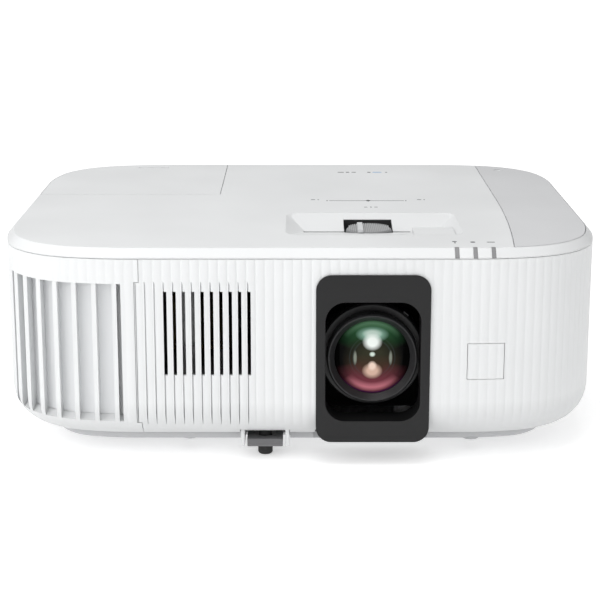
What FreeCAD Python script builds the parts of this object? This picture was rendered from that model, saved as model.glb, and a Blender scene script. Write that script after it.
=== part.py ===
# Home cinema projector: a low rounded-square case with ribbed side walls, a smooth lid,
# a shifting zoom lens behind a tall black bezel, and the optics, lamp, fans and boards inside.
# Millimetres. +Z up, -Y is the side that the lens faces, origin on the table under the middle.
import FreeCAD, Part
import math
import os

Vector = FreeCAD.Vector

# Driving dimensions: case
width = 333.0               # overall, X
depth = 275.0               # case only, Y
height = 121.0              # table to lid, feet screwed in
foot_clearance = 6.0        # table to the underside of the base
wall = 2.5                  # case wall
lid_rise = 5.2              # seam under the lid to the lid's top
lid_bevel = 4.0             # how far the lid's bevelled edge leans in
corner_lead_radius = 130.0  # a corner starts and ends on this wide arc
corner_lead_angle = 15.0
corner_radius = 52.0        # and turns on this one
skirt_radius = 20.0         # lower edge of the side wall
skirt_bottom = 13.5         # underside of the side wall above the table
plinth_inset = 24.0         # base plate, inside the side wall
gap = 0.3                   # between case pieces
rib_pitch = 5.0             # the side wall's ribs, along the outline

# Lens
lens_x = 39.3
lens_z = 58.8
shift_travel = 4.5          # the lens carriage, each way
focus_ring_radius = 24.8
focus_ring_length = 14.0
zoom_ring_radius = 28.4
zoom_ring_length = 12.0
barrel_radius = 20.5        # under the focus ring
barrel_step_radius = 24.0   # under the zoom ring and back to the carriage
glass_radius = 21.0
running_clearance = 0.3     # rings on the barrel
shade_half_width = 32.0     # light shade behind the bezel's opening, on the barrel
shade_below = 35.5
shade_above = 33.0
bezel_width = 61.5
bezel_height = 93.4
bezel_bottom = 13.6
bezel_corner = 8.5
bezel_proud = 1.0
bezel_opening_width = 51.4
bezel_opening_height = 66.6
bezel_opening_corner = 11.0
bezel_depth = 16.0

# Lens shift drive
gear_module = 1.0
dial_teeth = 45
pinion_teeth = 20
tooth_backlash = 0.16
gear_face = 4.0
dial_radius = 13.1
dial_y = -70.0
screw_radius = 3.0
rod_radius = 2.5
rod_spread = 40.0           # guide rods each side of the lens
rod_y = -53.5
pin_clearance = 0.05

# Case openings
grille_seam_x = -86.3       # where the exhaust grille meets the front wall
grille_margin = 9.6         # from that seam to the first opening
grille_end_y = -34.0        # and where it ends on the left side
louvre_bottom = 24.5
louvre_top = 102.0
louvre_pitch = 11.2
louvre_start = 99.4         # first blade, along the outline from the middle of the front
louvre_thickness = 2.4
louvre_depth = 6.5
louvre_ledge = 2.7          # height of the sloping ledge under the blades
baffle_thickness = 1.5
slot_count = 10             # front air slots
slot_first_x = -27.3
slot_width = 1.9
slot_bottom = 51.2
slot_top = 97.8
speaker_slot_count = 9
speaker_slot_y = 55.0
speaker_slot_bottom = 42.0
speaker_slot_top = 82.0
ir_size = 20.2              # remote receiver window, square
ir_x = 100.2
ir_z = 59.0
filter_y = -15.0            # filter cover on the right side
filter_length = 90.0
filter_bottom = 38.0
filter_height = 60.0
panel_x = -18.0             # socket recess in the back
panel_width = 140.0
panel_bottom = 34.0
panel_height = 64.0
panel_recess = 10.0
lamp_seam_x = 120.5
lamp_seam_bend = 1400.0     # the seam's forward half is an arc of this radius
bay_seam_x = -49.7          # streaming stick cover
bay_seam_y = 22.0
cover_thickness = 2.2

# Control scoop in the lid
scoop_left = -10.0
scoop_right = 92.6
scoop_back = -37.0
scoop_front = -101.0
scoop_valley_y = -65.5
scoop_depth = 5.6           # lid to the valley
scoop_end_slope = 13.0
scoop_corner = 9.0
dial_window_back = -47.0

# Feet, fans, buttons
front_foot_x = -19.3
front_foot_y = -117.0
front_foot_radius = 4.1
front_foot_reach = 26.0
bracket_half = 13.4         # white bracket around the front foot
bracket_ear = 2.2
lever_half = 9.8
lever_front = -127.5
rear_foot_x = 112.0
rear_foot_y = 88.0
rear_foot_radius = 8.0
fan_x = -108.0
fan_y = -79.0
fan_size = 70.0
fan_thickness = 25.0
button_x = 78.0
button_travel = 1.0
insert_x = 60.0             # ceiling mount inserts, from the middle
insert_y = 70.0
insert_hole_radius = 2.0

# Worked out
front = -depth / 2
back = depth / 2
seam_z = height - lid_rise
dial_pitch_radius = gear_module * dial_teeth / 2
pinion_pitch_radius = gear_module * pinion_teeth / 2
screw_x = lens_x - dial_pitch_radius - pinion_pitch_radius
scoop_valley_z = height - scoop_depth
frame_top = height - 24.0
gear_z = frame_top + 1.0
bezel_front = front - bezel_proud
focus_front = front + 6.5
zoom_front = focus_front + focus_ring_length + 0.5
carriage_front = -56.0
carriage_back = -51.0
opening_z = bezel_bottom + (bezel_height - bezel_opening_height) * 0.445 + bezel_opening_height / 2


# Small helpers
def box(x0, x1, y0, y1, z0, z1):
    return Part.makeBox(x1 - x0, y1 - y0, z1 - z0, Vector(x0, y0, z0))


def cylinder(radius, length, base, axis=Vector(0, 0, 1)):
    return Part.makeCylinder(radius, length, Vector(*base), axis)


def along_y(radius, y0, y1, x=lens_x, z=lens_z):
    return cylinder(radius, y1 - y0, (x, y0, z), Vector(0, 1, 0))


def join(shapes):
    whole = shapes[0]
    for shape in shapes[1:]:
        whole = whole.fuse(shape)
    return whole.removeSplitter()


def cut(shape, tools):
    for tool in tools:
        shape = shape.cut(tool)
    return shape


def rounded_rectangle(x0, x1, y0, y1, radius):
    """Closed wire at z = 0 with round corners."""
    quarter = math.radians(45)
    edges = []
    corners = [(x1 - radius, y0 + radius, 270), (x1 - radius, y1 - radius, 0),
               (x0 + radius, y1 - radius, 90), (x0 + radius, y0 + radius, 180)]
    ends = []
    for cx, cy, start in corners:
        angle = math.radians(start)
        points = [Vector(cx + radius * math.cos(angle + k * quarter),
                         cy + radius * math.sin(angle + k * quarter), 0) for k in range(3)]
        ends.append((points[0], points[2]))
        edges.append(Part.Arc(*points).toShape())
    for k in range(4):
        a, b = ends[k][1], ends[(k + 1) % 4][0]
        if (b - a).Length > 1e-6:
            edges.append(Part.LineSegment(a, b).toShape())
    return Part.Wire(Part.__sortEdges__(edges))


def plate(wire, z0, z1):
    face = Part.Face(wire)
    face.translate(Vector(0, 0, z0))
    return face.extrude(Vector(0, 0, z1 - z0))


def rounded_block(x0, x1, z0, z1, y0, y1, radius):
    """A block along Y whose outline in the XZ plane has round corners."""
    solid = plate(rounded_rectangle(x0, x1, z0, z1, radius), 0, y1 - y0)
    solid.rotate(Vector(0, 0, 0), Vector(1, 0, 0), 90)
    solid.translate(Vector(0, y1, 0))
    return solid


def corner_steps(inset):
    lead = math.radians(corner_lead_angle)
    return [(corner_lead_radius - inset, lead),
            (corner_radius - inset, math.pi / 2 - 2 * lead),
            (corner_lead_radius - inset, lead)]


def corner_extent():
    lead = math.radians(corner_lead_angle)
    return (corner_lead_radius * (1 + math.sin(lead) - math.cos(lead))
            + corner_radius * (math.cos(lead) - math.sin(lead)))


def outline(inset=0.0, z=0.0):
    """The case outline, moved in by inset: four straight sides and four three-arc corners."""
    x, y, heading = -(width / 2 - corner_extent()), front + inset, 0.0
    edges = []
    for side in range(4):
        run = (width if side % 2 == 0 else depth) - 2 * corner_extent()
        nx, ny = x + run * math.cos(heading), y + run * math.sin(heading)
        edges.append(Part.LineSegment(Vector(x, y, z), Vector(nx, ny, z)).toShape())
        x, y = nx, ny
        for radius, turn in corner_steps(inset):
            cx, cy = x - radius * math.sin(heading), y + radius * math.cos(heading)
            mid, end = heading + turn / 2, heading + turn
            points = [Vector(cx + radius * math.sin(a), cy - radius * math.cos(a), z)
                      for a in (heading, mid, end)]
            edges.append(Part.Arc(*points).toShape())
            x, y, heading = points[2].x, points[2].y, end
    return Part.Wire(edges)


def outline_point(distance):
    """Point and heading on the outline, distance along it from the middle of the front to +X."""
    x, y, heading = 0.0, front, 0.0
    left = abs(distance)
    run = width / 2 - corner_extent()
    steps = [("run", run)] + [("turn",) + s for s in corner_steps(0)] + [("run", depth)]
    for step in steps:
        if step[0] == "run":
            d = min(left, step[1])
            x, y = x + d * math.cos(heading), y + d * math.sin(heading)
        else:
            radius, turn = step[1], step[2]
            d = min(left, radius * turn)
            cx, cy = x - radius * math.sin(heading), y + radius * math.cos(heading)
            heading += d / radius
            x, y = cx + radius * math.sin(heading), cy - radius * math.cos(heading)
        left -= d
        if left <= 1e-9:
            break
    return (x if distance > 0 else -x), y, heading


def ring_edges(solid, z):
    return [e for e in solid.Edges if all(abs(v.Z - z) < 1e-4 for v in e.Vertexes)
            and abs(e.CenterOfMass.z - z) < 1e-4]


def tub(inset, z0, z1, radius):
    """The filled case shape with its lower edge rounded."""
    solid = plate(outline(inset), z0, z1)
    return solid.makeFillet(radius, ring_edges(solid, z0))


def cone_loft(inset0, z0, inset1, z1):
    return Part.makeLoft([outline(inset0, z0), outline(inset1, z1)], True, True)


def gear(teeth, thickness, base, turn=0.0):
    """Spur gear with 20 degree involute flanks, thinned by the backlash."""
    pitch_r = gear_module * teeth / 2
    base_r = pitch_r * math.cos(math.radians(20))
    tip_r, root_r = pitch_r + gear_module, pitch_r - 1.25 * gear_module

    def roll(radius):
        return math.sqrt(max((radius / base_r) ** 2 - 1, 0))

    def involute(radius):
        return roll(radius) - math.atan(roll(radius))

    half_pitch = math.pi / (2 * teeth) - tooth_backlash / (2 * pitch_r)
    points = []
    start_r = max(base_r, root_r)
    radii = [start_r + (tip_r - start_r) * k / 5 for k in range(6)]
    for tooth in range(teeth):
        middle = turn + 2 * math.pi * tooth / teeth
        flank = [(r, half_pitch + involute(pitch_r) - involute(r)) for r in radii]
        foot = flank[0][1]
        side = [(root_r, foot)] + flank
        points += [(r, middle - a) for r, a in side]
        points += [(r, middle + a) for r, a in reversed(side)]
    corners = [Vector(r * math.cos(a), r * math.sin(a), 0) for r, a in points]
    corners = [p for k, p in enumerate(corners) if (p - corners[k - 1]).Length > 1e-6]
    solid = Part.Face(Part.makePolygon(corners + corners[:1])).extrude(Vector(0, 0, thickness))
    solid.translate(Vector(*base))
    return solid


def tapped_post(x, y, z0, z1, outer=3.2, hole=1.3, hole_depth=7.0):
    """Round post with a blind screw hole in its lower end."""
    return cylinder(outer, z1 - z0, (x, y, z0)).cut(cylinder(hole, hole_depth + 1, (x, y, z0 - 1)))


# Case
def case_wall():
    """The whole side wall as one ring, before it is divided."""
    outer = tub(0, skirt_bottom, seam_z, skirt_radius)
    inner = tub(wall, skirt_bottom + wall, seam_z + 1, skirt_radius - wall)
    floor_hole = plate(outline(plinth_inset), skirt_bottom - 1, skirt_bottom + wall + 1)
    return outer.cut(inner).cut(floor_hole)


def grille_zone(clearance=0.0):
    """The part of the wall that the exhaust grille takes, with a jog beside the louvres."""
    seam = grille_seam_x + clearance
    zone = box(-width, seam, front - 5, grille_end_y + clearance, 0, seam_z + 1)
    jog = box(seam - rib_pitch / 2, seam + 1, front - 5, front + 30,
              louvre_bottom - 1 + clearance, louvre_top + 1 - clearance)
    return zone.cut(jog)


def front_slots():
    return [box(slot_first_x - k * rib_pitch - slot_width / 2, slot_first_x - k * rib_pitch + slot_width / 2,
                front - 1, front + wall + 1, slot_bottom, slot_top) for k in range(slot_count)]


def speaker_slots():
    first = speaker_slot_y - rib_pitch * (speaker_slot_count - 1) / 2
    return [box(-width / 2 - 1, -width / 2 + wall + 1,
                first + k * rib_pitch - slot_width / 2, first + k * rib_pitch + slot_width / 2,
                speaker_slot_bottom, speaker_slot_top) for k in range(speaker_slot_count)]


def button_places():
    """Name, x, z and radius of the round buttons in the back wall."""
    return [("power_button", button_x, 103.0, 4.5), ("menu_button", button_x - 9.5, 89.0, 3.6),
            ("back_button", button_x + 9.5, 89.0, 3.6)]


arrow_z = 68.0
arrow_radius = 12.5
enter_radius = 4.6


def side_wall(whole):
    bezel_hole = rounded_block(lens_x - bezel_width / 2 + 2, lens_x + bezel_width / 2 - 2,
                               bezel_bottom + 4, bezel_bottom + bezel_height - 2,
                               front - 5, front + 30, bezel_corner - 2)
    skirt_notch = box(lens_x - bezel_width / 2 - gap, lens_x + bezel_width / 2 + gap,
                      front - 5, front + plinth_inset + 2, 0, bezel_bottom + 4.5)
    tools = [grille_zone(gap), bezel_hole, skirt_notch,
             box(ir_x - ir_size / 2, ir_x + ir_size / 2, front - 5, front + 10,
                 ir_z - ir_size / 2, ir_z + ir_size / 2),
             box(width / 2 - 8, width / 2 + 5, filter_y - filter_length / 2, filter_y + filter_length / 2,
                 filter_bottom, filter_bottom + filter_height),
             box(panel_x - panel_width / 2, panel_x + panel_width / 2, back - 8, back + 5,
                 panel_bottom, panel_bottom + panel_height),
             along_y(arrow_radius + gap, back - 8, back + 5, button_x, arrow_z),
             rounded_block(-7.8, 7.8, seam_z - 11.8, seam_z - 3.2, back - 8, back + 5, 4.2),
             foot_notch()]
    tools += [along_y(r + gap, back - 8, back + 5, x, z) for _, x, z, r in button_places()]
    tools += front_slots() + speaker_slots()
    body = cut(whole, tools)
    posts = [box(x - 3.6, x + 3.6, y - 3.2, y + 3.2, skirt_bottom + wall - 0.5, seam_z - 8) for x, y in wall_post_places()]
    post_holes = [cylinder(1.3, 12, (x, y, seam_z - 20)) for x, y in wall_post_places()]
    inside = tub(wall - 0.6, skirt_bottom + 0.5, seam_z, skirt_radius - wall)
    return cut(join([body] + [p.common(inside) for p in posts]), post_holes)


def wall_post_places():
    """Screw posts inside the side wall, x and y."""
    edge = width / 2 - wall - 4.0
    return [(edge, 60.0), (-edge, 0.0), (-edge + 4.2, 96.0), (edge - 2.2, -84.0)]


def exhaust_grille(whole):
    """Corner piece: a ring of wall with an open band, filled with slanting blades."""
    ring = whole.common(grille_zone(0))
    window = box(-width, grille_seam_x - grille_margin, front - 5, grille_end_y - 8, louvre_bottom, louvre_top)
    body = ring.cut(window)
    inner = tub(louvre_depth, skirt_bottom, seam_z, 4.0)
    outer = tub(0.4, skirt_bottom, seam_z, skirt_radius)
    blades = []
    for k in range(louvre_count()):
        x, y, heading = outline_point(-(louvre_start + k * louvre_pitch))
        lean = 0.5 * max(0, math.degrees(heading) - 20)
        blade = box(-louvre_thickness / 2, louvre_thickness / 2, -6, louvre_depth * 1.7,
                    louvre_bottom - 1.5, louvre_top + 1.5)
        blade.rotate(Vector(0, 0, 0), Vector(0, 0, 1), -lean)
        blade.translate(Vector(x, y, 0))
        blades.append(blade.common(outer).cut(inner))
    ledge = cone_loft(wall - 0.5, louvre_bottom - 0.1, louvre_depth + 0.6, louvre_bottom + louvre_ledge)
    ledge = ledge.cut(plate(outline(louvre_depth), louvre_bottom - 1, louvre_bottom + louvre_ledge + 1))
    rails = join([whole_band(louvre_bottom - 2.5, louvre_bottom), ledge,
                  whole_band(louvre_top, louvre_top + 2.5)])
    rails = rails.common(tub(0, skirt_bottom, seam_z, skirt_radius)).common(box(-width, grille_seam_x - grille_margin, front - 5, grille_end_y - 8, 0, height))
    return join([body, rails] + blades)


def exhaust_baffle():
    """Light baffle behind the louvres: a curved screen with a slot hidden behind each blade."""
    screen = plate(outline(louvre_depth + gap), louvre_bottom - 2, louvre_top + 2).cut(
        plate(outline(louvre_depth + gap + baffle_thickness), louvre_bottom - 3, louvre_top + 3))
    screen = screen.common(box(-width, grille_seam_x - 8, front - 5, grille_end_y - 10, 0, height))
    slots = []
    for k in range(louvre_count()):
        x, y, heading = outline_point(-(louvre_start + k * louvre_pitch))
        lean = 0.5 * max(0, math.degrees(heading) - 20)
        slot = box(-1.0, 1.0, louvre_depth * 0.5, louvre_depth * 3, louvre_bottom + louvre_ledge + 3, louvre_top - 3)
        slot.rotate(Vector(0, 0, 0), Vector(0, 0, 1), -lean)
        slot.translate(Vector(x, y, 0))
        slots.append(slot)
    return cut(screen, slots)


def whole_band(z0, z1):
    """A shelf behind the wall that the louvre blades stand on."""
    return plate(outline(wall - 0.5), z0, z1).cut(plate(outline(louvre_depth), z0 - 1, z1 + 1))


def louvre_count():
    count = 0
    while True:
        _, y, _ = outline_point(-(louvre_start + count * louvre_pitch))
        if y > grille_end_y - 12:
            return count
        count += 1


def lower_case():
    """Base tray: the plinth, its floor and the posts that the inside stands on."""
    floor_top = skirt_bottom + wall
    plinth = tub(plinth_inset + gap, foot_clearance, floor_top, 5.0)
    ledge = plate(outline(wall + 11), floor_top, floor_top + 2).cut(
        plate(outline(plinth_inset + 4), floor_top - 1, floor_top + 3))
    hollow = tub(plinth_inset + gap + wall, foot_clearance + wall, floor_top + 1, 3.0)
    ledge = ledge.common(tub(wall + gap, skirt_bottom + wall + 0.1, seam_z, skirt_radius - wall))
    body = join([plinth.cut(hollow), ledge])
    posts = [cylinder(5.0, 12, (sx * insert_x, sy * insert_y, foot_clearance))
             for sx in (-1, 1) for sy in (-1, 1)]
    posts += [cylinder(9.0, 16, (sx * rear_foot_x, rear_foot_y, foot_clearance)) for sx in (-1, 1)]
    posts += [cylinder(3.2, foot_to(z), (x, y, foot_clearance)) for x, y, z in inner_post_places()]
    posts += [cylinder(case_post_radius, foot_to(case_post_top), (x, y, foot_clearance))
              for x, y in case_screw_places()]
    body = join([body] + posts)
    tools = [cylinder(insert_hole_radius + 1.0, 9, (sx * insert_x, sy * insert_y, foot_clearance - 1))
             for sx in (-1, 1) for sy in (-1, 1)]
    tools += [cylinder(4.0 + pin_clearance, 30, (sx * rear_foot_x, rear_foot_y, 0)) for sx in (-1, 1)]
    tools += [box(front_foot_x - bracket_half - gap, front_foot_x + bracket_half + gap, front,
                  bracket_back + gap, 0, 30)]
    tools += [cylinder(screw_head_radius + 0.4, screw_seat_z, (x, y, 0)) for x, y in case_screw_places()]
    tools += [cylinder(1.8, 80, (x, y, 0)) for x, y in case_screw_places()]
    tools += [box(lens_x - bezel_width / 2 - 1, lens_x + bezel_width / 2 + 1, front, front + plinth_inset + 3, 0, 20)]
    intake = [box(x, x + 2.0, -40, 0, foot_clearance - 1, foot_clearance + wall + 1) for x in range(88, 124, 5)]
    return cut(body, tools + intake)


def foot_to(z):
    return z - foot_clearance


def inner_post_places():
    """Posts under the boards, the optical engine and the lens frame: x, y, top."""
    board = [(sx, sy, 22.0) for sx in (-130.0, -50.0) for sy in (22.0, 86.0)]
    engine = [(x, y, 38.0) for x in (-18.0, 104.0) for y in (6.0, 92.0)]
    frame = [(x, rod_y + 3, 18.0) for x in (lens_x - 30, lens_x + 30)]
    ballast = [(x, y, 22.0) for x in (92.0, 128.0) for y in (-96.0, -66.0)]
    return board + engine + frame + ballast


case_post_radius = 4.5
case_post_top = 60.0
screw_seat_z = 52.0
screw_head_radius = 2.8


def case_screw_places():
    return [(-100.0, 0.0), (118.0, 44.0), (-51.0, 99.0), (100.0, 107.0), (96.0, -107.5), (-62.0, -106.0)]


def scoop(grow=0.0, raise_top=0.0):
    """The finger scoop's hollow: a shallow valley across the lid, with sloping ends."""
    x0, x1, y0, y1 = scoop_left - grow, scoop_right + grow, scoop_front - grow, scoop_back + grow
    valley_z = scoop_valley_z - grow
    top = height + raise_top
    section = Part.makePolygon([Vector(0, y0, height - grow), Vector(0, scoop_valley_y, valley_z),
                                Vector(0, y1, height - grow), Vector(0, y1, top),
                                Vector(0, y0, top), Vector(0, y0, height - grow)])
    valley = Part.Face(section).extrude(Vector(x1 - x0, 0, 0))
    valley.translate(Vector(x0, 0, 0))
    low = valley_z
    tops = rounded_rectangle(x0, x1, y0, y1, scoop_corner + grow)
    lows = rounded_rectangle(x0 + scoop_end_slope, x1 - scoop_end_slope, y0 + 2, y1 - 2, scoop_corner)
    tops.translate(Vector(0, 0, top))
    lows.translate(Vector(0, 0, low - 0.01))
    return valley.common(Part.makeLoft([lows, tops], True, True))


def scoop_pad():
    """The raised pad that closes the right end of the scoop's front half."""
    pad = box(63.5, scoop_right - 6, scoop_front + 0.5, -77.0, scoop_valley_z - 2.5, height - 0.7)
    return pad.common(scoop(0.5, 0))


def seam_curve(x, side):
    """Lamp cover region: a straight seam that bends gently towards the front."""
    sag = (front + 4) ** 2 / (2 * lamp_seam_bend)
    mid = (front + 4) / 2
    edges = [Part.LineSegment(Vector(x, back + 5, 0), Vector(x, 0, 0)).toShape(),
             Part.Arc(Vector(x, 0, 0), Vector(x - sag / 4, mid, 0), Vector(x - sag, front + 4, 0)).toShape(),
             Part.LineSegment(Vector(x - sag, front + 4, 0), Vector(x - sag, front - 5, 0)).toShape(),
             Part.LineSegment(Vector(x - sag, front - 5, 0), Vector(side, front - 5, 0)).toShape(),
             Part.LineSegment(Vector(side, front - 5, 0), Vector(side, back + 5, 0)).toShape(),
             Part.LineSegment(Vector(side, back + 5, 0), Vector(x, back + 5, 0)).toShape()]
    return Part.Wire(edges)


def lamp_region(inset, shift, z0, z1):
    return plate(seam_curve(lamp_seam_x + shift, width), z0, z1).common(
        plate(outline(lid_bevel + inset), z0, z1))


def bay_region(inset, shift, z0, z1):
    return box(-width, bay_seam_x - shift, bay_seam_y + shift, depth, z0, z1).common(
        plate(outline(lid_bevel + inset), z0, z1))


def indicator_places():
    return [83.6, 93.4, 103.2]


def upper_case():
    outer = cone_loft(0, seam_z + 0.6, lid_bevel, height)
    outer = outer.fuse(plate(outline(0), seam_z, seam_z + 0.6))
    inner = cone_loft(wall, seam_z + 0.6, lid_bevel + wall - 0.8, height - wall)
    inner = inner.fuse(plate(outline(wall), seam_z - 1, seam_z + 0.6))
    lip = plate(outline(wall + gap), seam_z - 3, seam_z + 1).cut(
        plate(outline(wall + gap + 1.6), seam_z - 4, seam_z + 2))
    lip = join([lip, plate(outline(wall - 0.2), seam_z + 0.05, seam_z + 1).cut(
        plate(outline(wall + gap + 1.6), seam_z, seam_z + 2))])
    lip = cut(lip, [box(scoop_left, scoop_right, front - 5, front + 12, 0, height)])
    bowl = scoop(2.0, 0)
    body = join([outer.cut(inner), lip, bowl])
    ledge_z = height - cover_thickness - 0.1
    stick_dial = cylinder(dial_radius + 0.9, 40, (lens_x, dial_y, height - 20))
    window = box(lens_x - dial_radius - 0.9, lens_x + dial_radius + 0.9, dial_y, dial_window_back,
                 height - 20, height + 1)
    groove = box(2.0, 63.5, scoop_valley_y - 4.4, scoop_valley_y + 0.6, scoop_valley_z - 1.0, height)
    tools = [scoop(0, 1.0), stick_dial, window, groove,
             lamp_region(0, 0, ledge_z, height + 1), lamp_region(7, 7, 0, height + 1),
             bay_region(0, 0, ledge_z, height + 1), bay_region(7, 7, 0, height + 1)]
    body = cut(body, tools)
    body = body.fuse(scoop_pad().cut(stick_dial))
    notches = [box(x - 1.15, x + 1.15, front - 1, front + 6.2, seam_z + 0.2, height + 1) for x in indicator_places()]
    screw_posts = [tapped_post(x, y, seam_z - 8 + 0.2, height - wall + 0.1) for x, y in wall_post_places()]
    screw_posts += [tapped_post(x, y, case_post_top + gap, height - wall + 0.1, 4.2, 1.5, 12.0)
                    for x, y in case_screw_places()]
    body = cut(join([body] + [p.common(plate(outline(0.5), 0, height)) for p in screw_posts]), notches)
    return body.removeSplitter()


def indicator_lights():
    """Three light pipes set into the lid's bevel."""
    blank = cone_loft(0.05, seam_z + 0.6, lid_bevel + 0.05, height - 0.05)
    blank = blank.fuse(plate(outline(0.05), seam_z + 0.2, seam_z + 0.6))
    pipes = [box(x - 1.1, x + 1.1, front - 1, front + 6.0, seam_z + 0.25, height) for x in indicator_places()]
    return Part.makeCompound([blank.common(p) for p in pipes])


def lamp_cover():
    top = lamp_region(gap, gap, height - cover_thickness, height)
    hook = lamp_region(7 + gap, 7 + gap, height - 6, height - cover_thickness + 0.2)
    hook = hook.cut(lamp_region(9 + gap, 9 + gap, 0, height))
    boss = cylinder(3.6, 4, (lamp_seam_x + 14, back - 26, height - 6))
    screw_hole = cylinder(1.7, 20, (lamp_seam_x + 14, back - 26, height - 15))
    screw_seat = cylinder(3.0, 5, (lamp_seam_x + 14, back - 26, height - 1.8))
    return cut(join([top, hook, boss]), [screw_hole, screw_seat])


def lamp_cover_screw():
    head = cylinder(2.7, 1.5, (lamp_seam_x + 14, back - 26, height - 1.8))
    shank = cylinder(1.5, 8.5, (lamp_seam_x + 14, back - 26, height - 10))
    slot = box(lamp_seam_x + 12, lamp_seam_x + 16, back - 26.3, back - 25.7, height - 1.0, height)
    return join([head, shank]).cut(slot)


def stick_cover():
    top = bay_region(gap, gap, height - cover_thickness, height)
    hook = bay_region(7 + gap, 7 + gap, height - 6, height - cover_thickness + 0.2)
    hook = hook.cut(bay_region(9 + gap, 9 + gap, 0, height))
    grip = box(-110, -90, back - 17, back - 14, height - 1.0, height + 1)
    return join([top, hook]).cut(grip)


def stick_bay():
    """Open tray under the stick cover, with the socket that the stick plugs into."""
    x0, x1, y0, y1, z0, z1 = -140.0, -60.0, 34.0, 96.0, 84.0, 111.5
    tray = box(x0, x1, y0, y1, z0, z1).cut(box(x0 + 2, x1 - 2, y0 + 2, y1 - 2, z0 + 2, z1 + 1))
    return tray.cut(box(x1 - 3, x1 + 1, 60, 70, z0 + 4, z1 + 1))


def lens_bezel():
    x0, x1 = lens_x - bezel_width / 2, lens_x + bezel_width / 2
    z0, z1 = bezel_bottom, bezel_bottom + bezel_height
    face = rounded_block(x0, x1, z0, z1, bezel_front, front, bezel_corner)
    chin = rounded_block(x0, x1, z0, z0 + 30, bezel_front, front + plinth_inset - 1, bezel_corner)
    chin = chin.cut(tub(0, skirt_bottom, seam_z, skirt_radius).common(
        box(-width, width, front - 1, 0, bezel_bottom + 4.5, seam_z)))
    neck = rounded_block(x0 + 2 + gap, x1 - 2 - gap, z0 + 4 + gap, z1 - 2 - gap, front - 0.2, front + wall + 2,
                         bezel_corner - 2 - gap)
    ox0, ox1 = lens_x - bezel_opening_width / 2, lens_x + bezel_opening_width / 2
    oz0, oz1 = opening_z - bezel_opening_height / 2, opening_z + bezel_opening_height / 2
    sleeve = rounded_block(ox0 - 1.8, ox1 + 1.8, oz0 - 1.8, oz1 + 1.8, front, bezel_front + bezel_depth,
                           bezel_opening_corner + 1.8)
    hole = rounded_block(ox0, ox1, oz0, oz1, bezel_front - 1, front + bezel_depth + 1, bezel_opening_corner)
    back_space = box(x0 + 4, x1 - 4, front + wall + 2.2, front + plinth_inset - 3, z0 + 3, z1)
    body = join([face, chin.cut(back_space), neck, sleeve]).cut(hole)
    return body


def front_ir_window():
    half = ir_size / 2 - 0.25
    pane = box(ir_x - half, ir_x + half, front - 1, front + wall, ir_z - half, ir_z + half)
    return pane.common(tub(0, skirt_bottom, seam_z, skirt_radius))


def rear_panel():
    """Recessed socket tray in the back wall."""
    x0, x1 = panel_x - panel_width / 2 + gap, panel_x + panel_width / 2 - gap
    z0, z1 = panel_bottom + gap, panel_bottom + panel_height - gap
    tray = box(x0, x1, back - panel_recess - wall, back - 0.2, z0, z1).cut(
        box(x0 + 2, x1 - 2, back - panel_recess, back + 1, z0 + 2, z1 - 2))
    flange = box(x0 - 3, x1 + 3, back - wall - 2.2, back - wall - 0.2, z0 - 3, z1 + 3).cut(
        box(x0 + 1, x1 - 1, back - 20, back, z0 + 1, z1 - 1))
    tools = [box(x - w / 2 - 0.3, x + w / 2 + 0.3, back - 20, back, socket_z + z - 0.3, socket_z + z + h + 0.3)
             for x, w, z, h in socket_places()]
    tools += [along_y(3.3, back - 20, back, audio_x, audio_z),
              box(inlet_x - 14.2, inlet_x + 14.2, back - 20, back, inlet_z - 10.7, inlet_z + 10.7),
              box(38.0, 45.0, back - 20, back, 42.0, 45.0),
              rounded_block(24.0, 34.0, 40.0, 47.0, back - 20, back, 1.0)]
    return cut(join([tray, flange]), tools)


socket_z = 81.6             # top of the main board, where the sockets stand
audio_x = -44.0
audio_z = 84.6
inlet_x = -66.0
inlet_z = 56.0


def socket_places():
    """x, width, lift and height of the two picture sockets, the data socket and the service socket."""
    return [(30.0, 15.0, 0.0, 6.0), (6.0, 15.0, 0.0, 6.0), (-18.0, 13.4, 0.0, 6.4), (-33.0, 8.0, 0.0, 3.4)]


def signal_sockets():
    solids = []
    for x, w, z, h in socket_places():
        base, mouth = socket_z + z, back - panel_recess + 0.3
        shell = box(x - w / 2, x + w / 2, mouth - 12, mouth, base, base + h)
        shell = shell.cut(box(x - w / 2 + 0.6, x + w / 2 - 0.6, mouth - 10.5, mouth + 1, base + 0.6, base + h - 0.6))
        tongue = box(x - w / 2 + 2.2, x + w / 2 - 2.2, mouth - 11, mouth - 1.5, base + h / 2 - 0.4, base + h / 2 + 0.4)
        solids.append(shell.fuse(tongue).removeSplitter())
    mouth = back - panel_recess + 1.0
    body = box(audio_x - 4, audio_x + 4, mouth - 15, mouth - 3.6, socket_z, socket_z + 7)
    body = body.fuse(along_y(3.0, mouth - 4, mouth, audio_x, audio_z))
    body = body.cut(along_y(1.8, mouth - 14, mouth + 1, audio_x, audio_z))
    solids.append(body.removeSplitter())
    return Part.makeCompound(solids)


def power_inlet():
    mouth = back - panel_recess + 1.5
    flange = rounded_block(inlet_x - 16.5, inlet_x + 16.5, inlet_z - 13, inlet_z + 13,
                           back - panel_recess + 0.1, mouth, 3.0)
    shell = box(inlet_x - 13.8, inlet_x + 13.8, mouth - 22, mouth - 0.5, inlet_z - 10.2, inlet_z + 10.2)
    cavity = rounded_block(inlet_x - 12.2, inlet_x + 12.2, inlet_z - 8.2, inlet_z + 8.2, mouth - 17, mouth + 1, 2.5)
    pins = [box(inlet_x + dx - 1, inlet_x + dx + 1, mouth - 18, mouth - 3, inlet_z + dz - 2, inlet_z + dz + 2)
            for dx, dz in ((-7, -2), (7, -2), (0, 2))]
    return join([join([flange, shell]).cut(cavity)] + pins)


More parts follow.
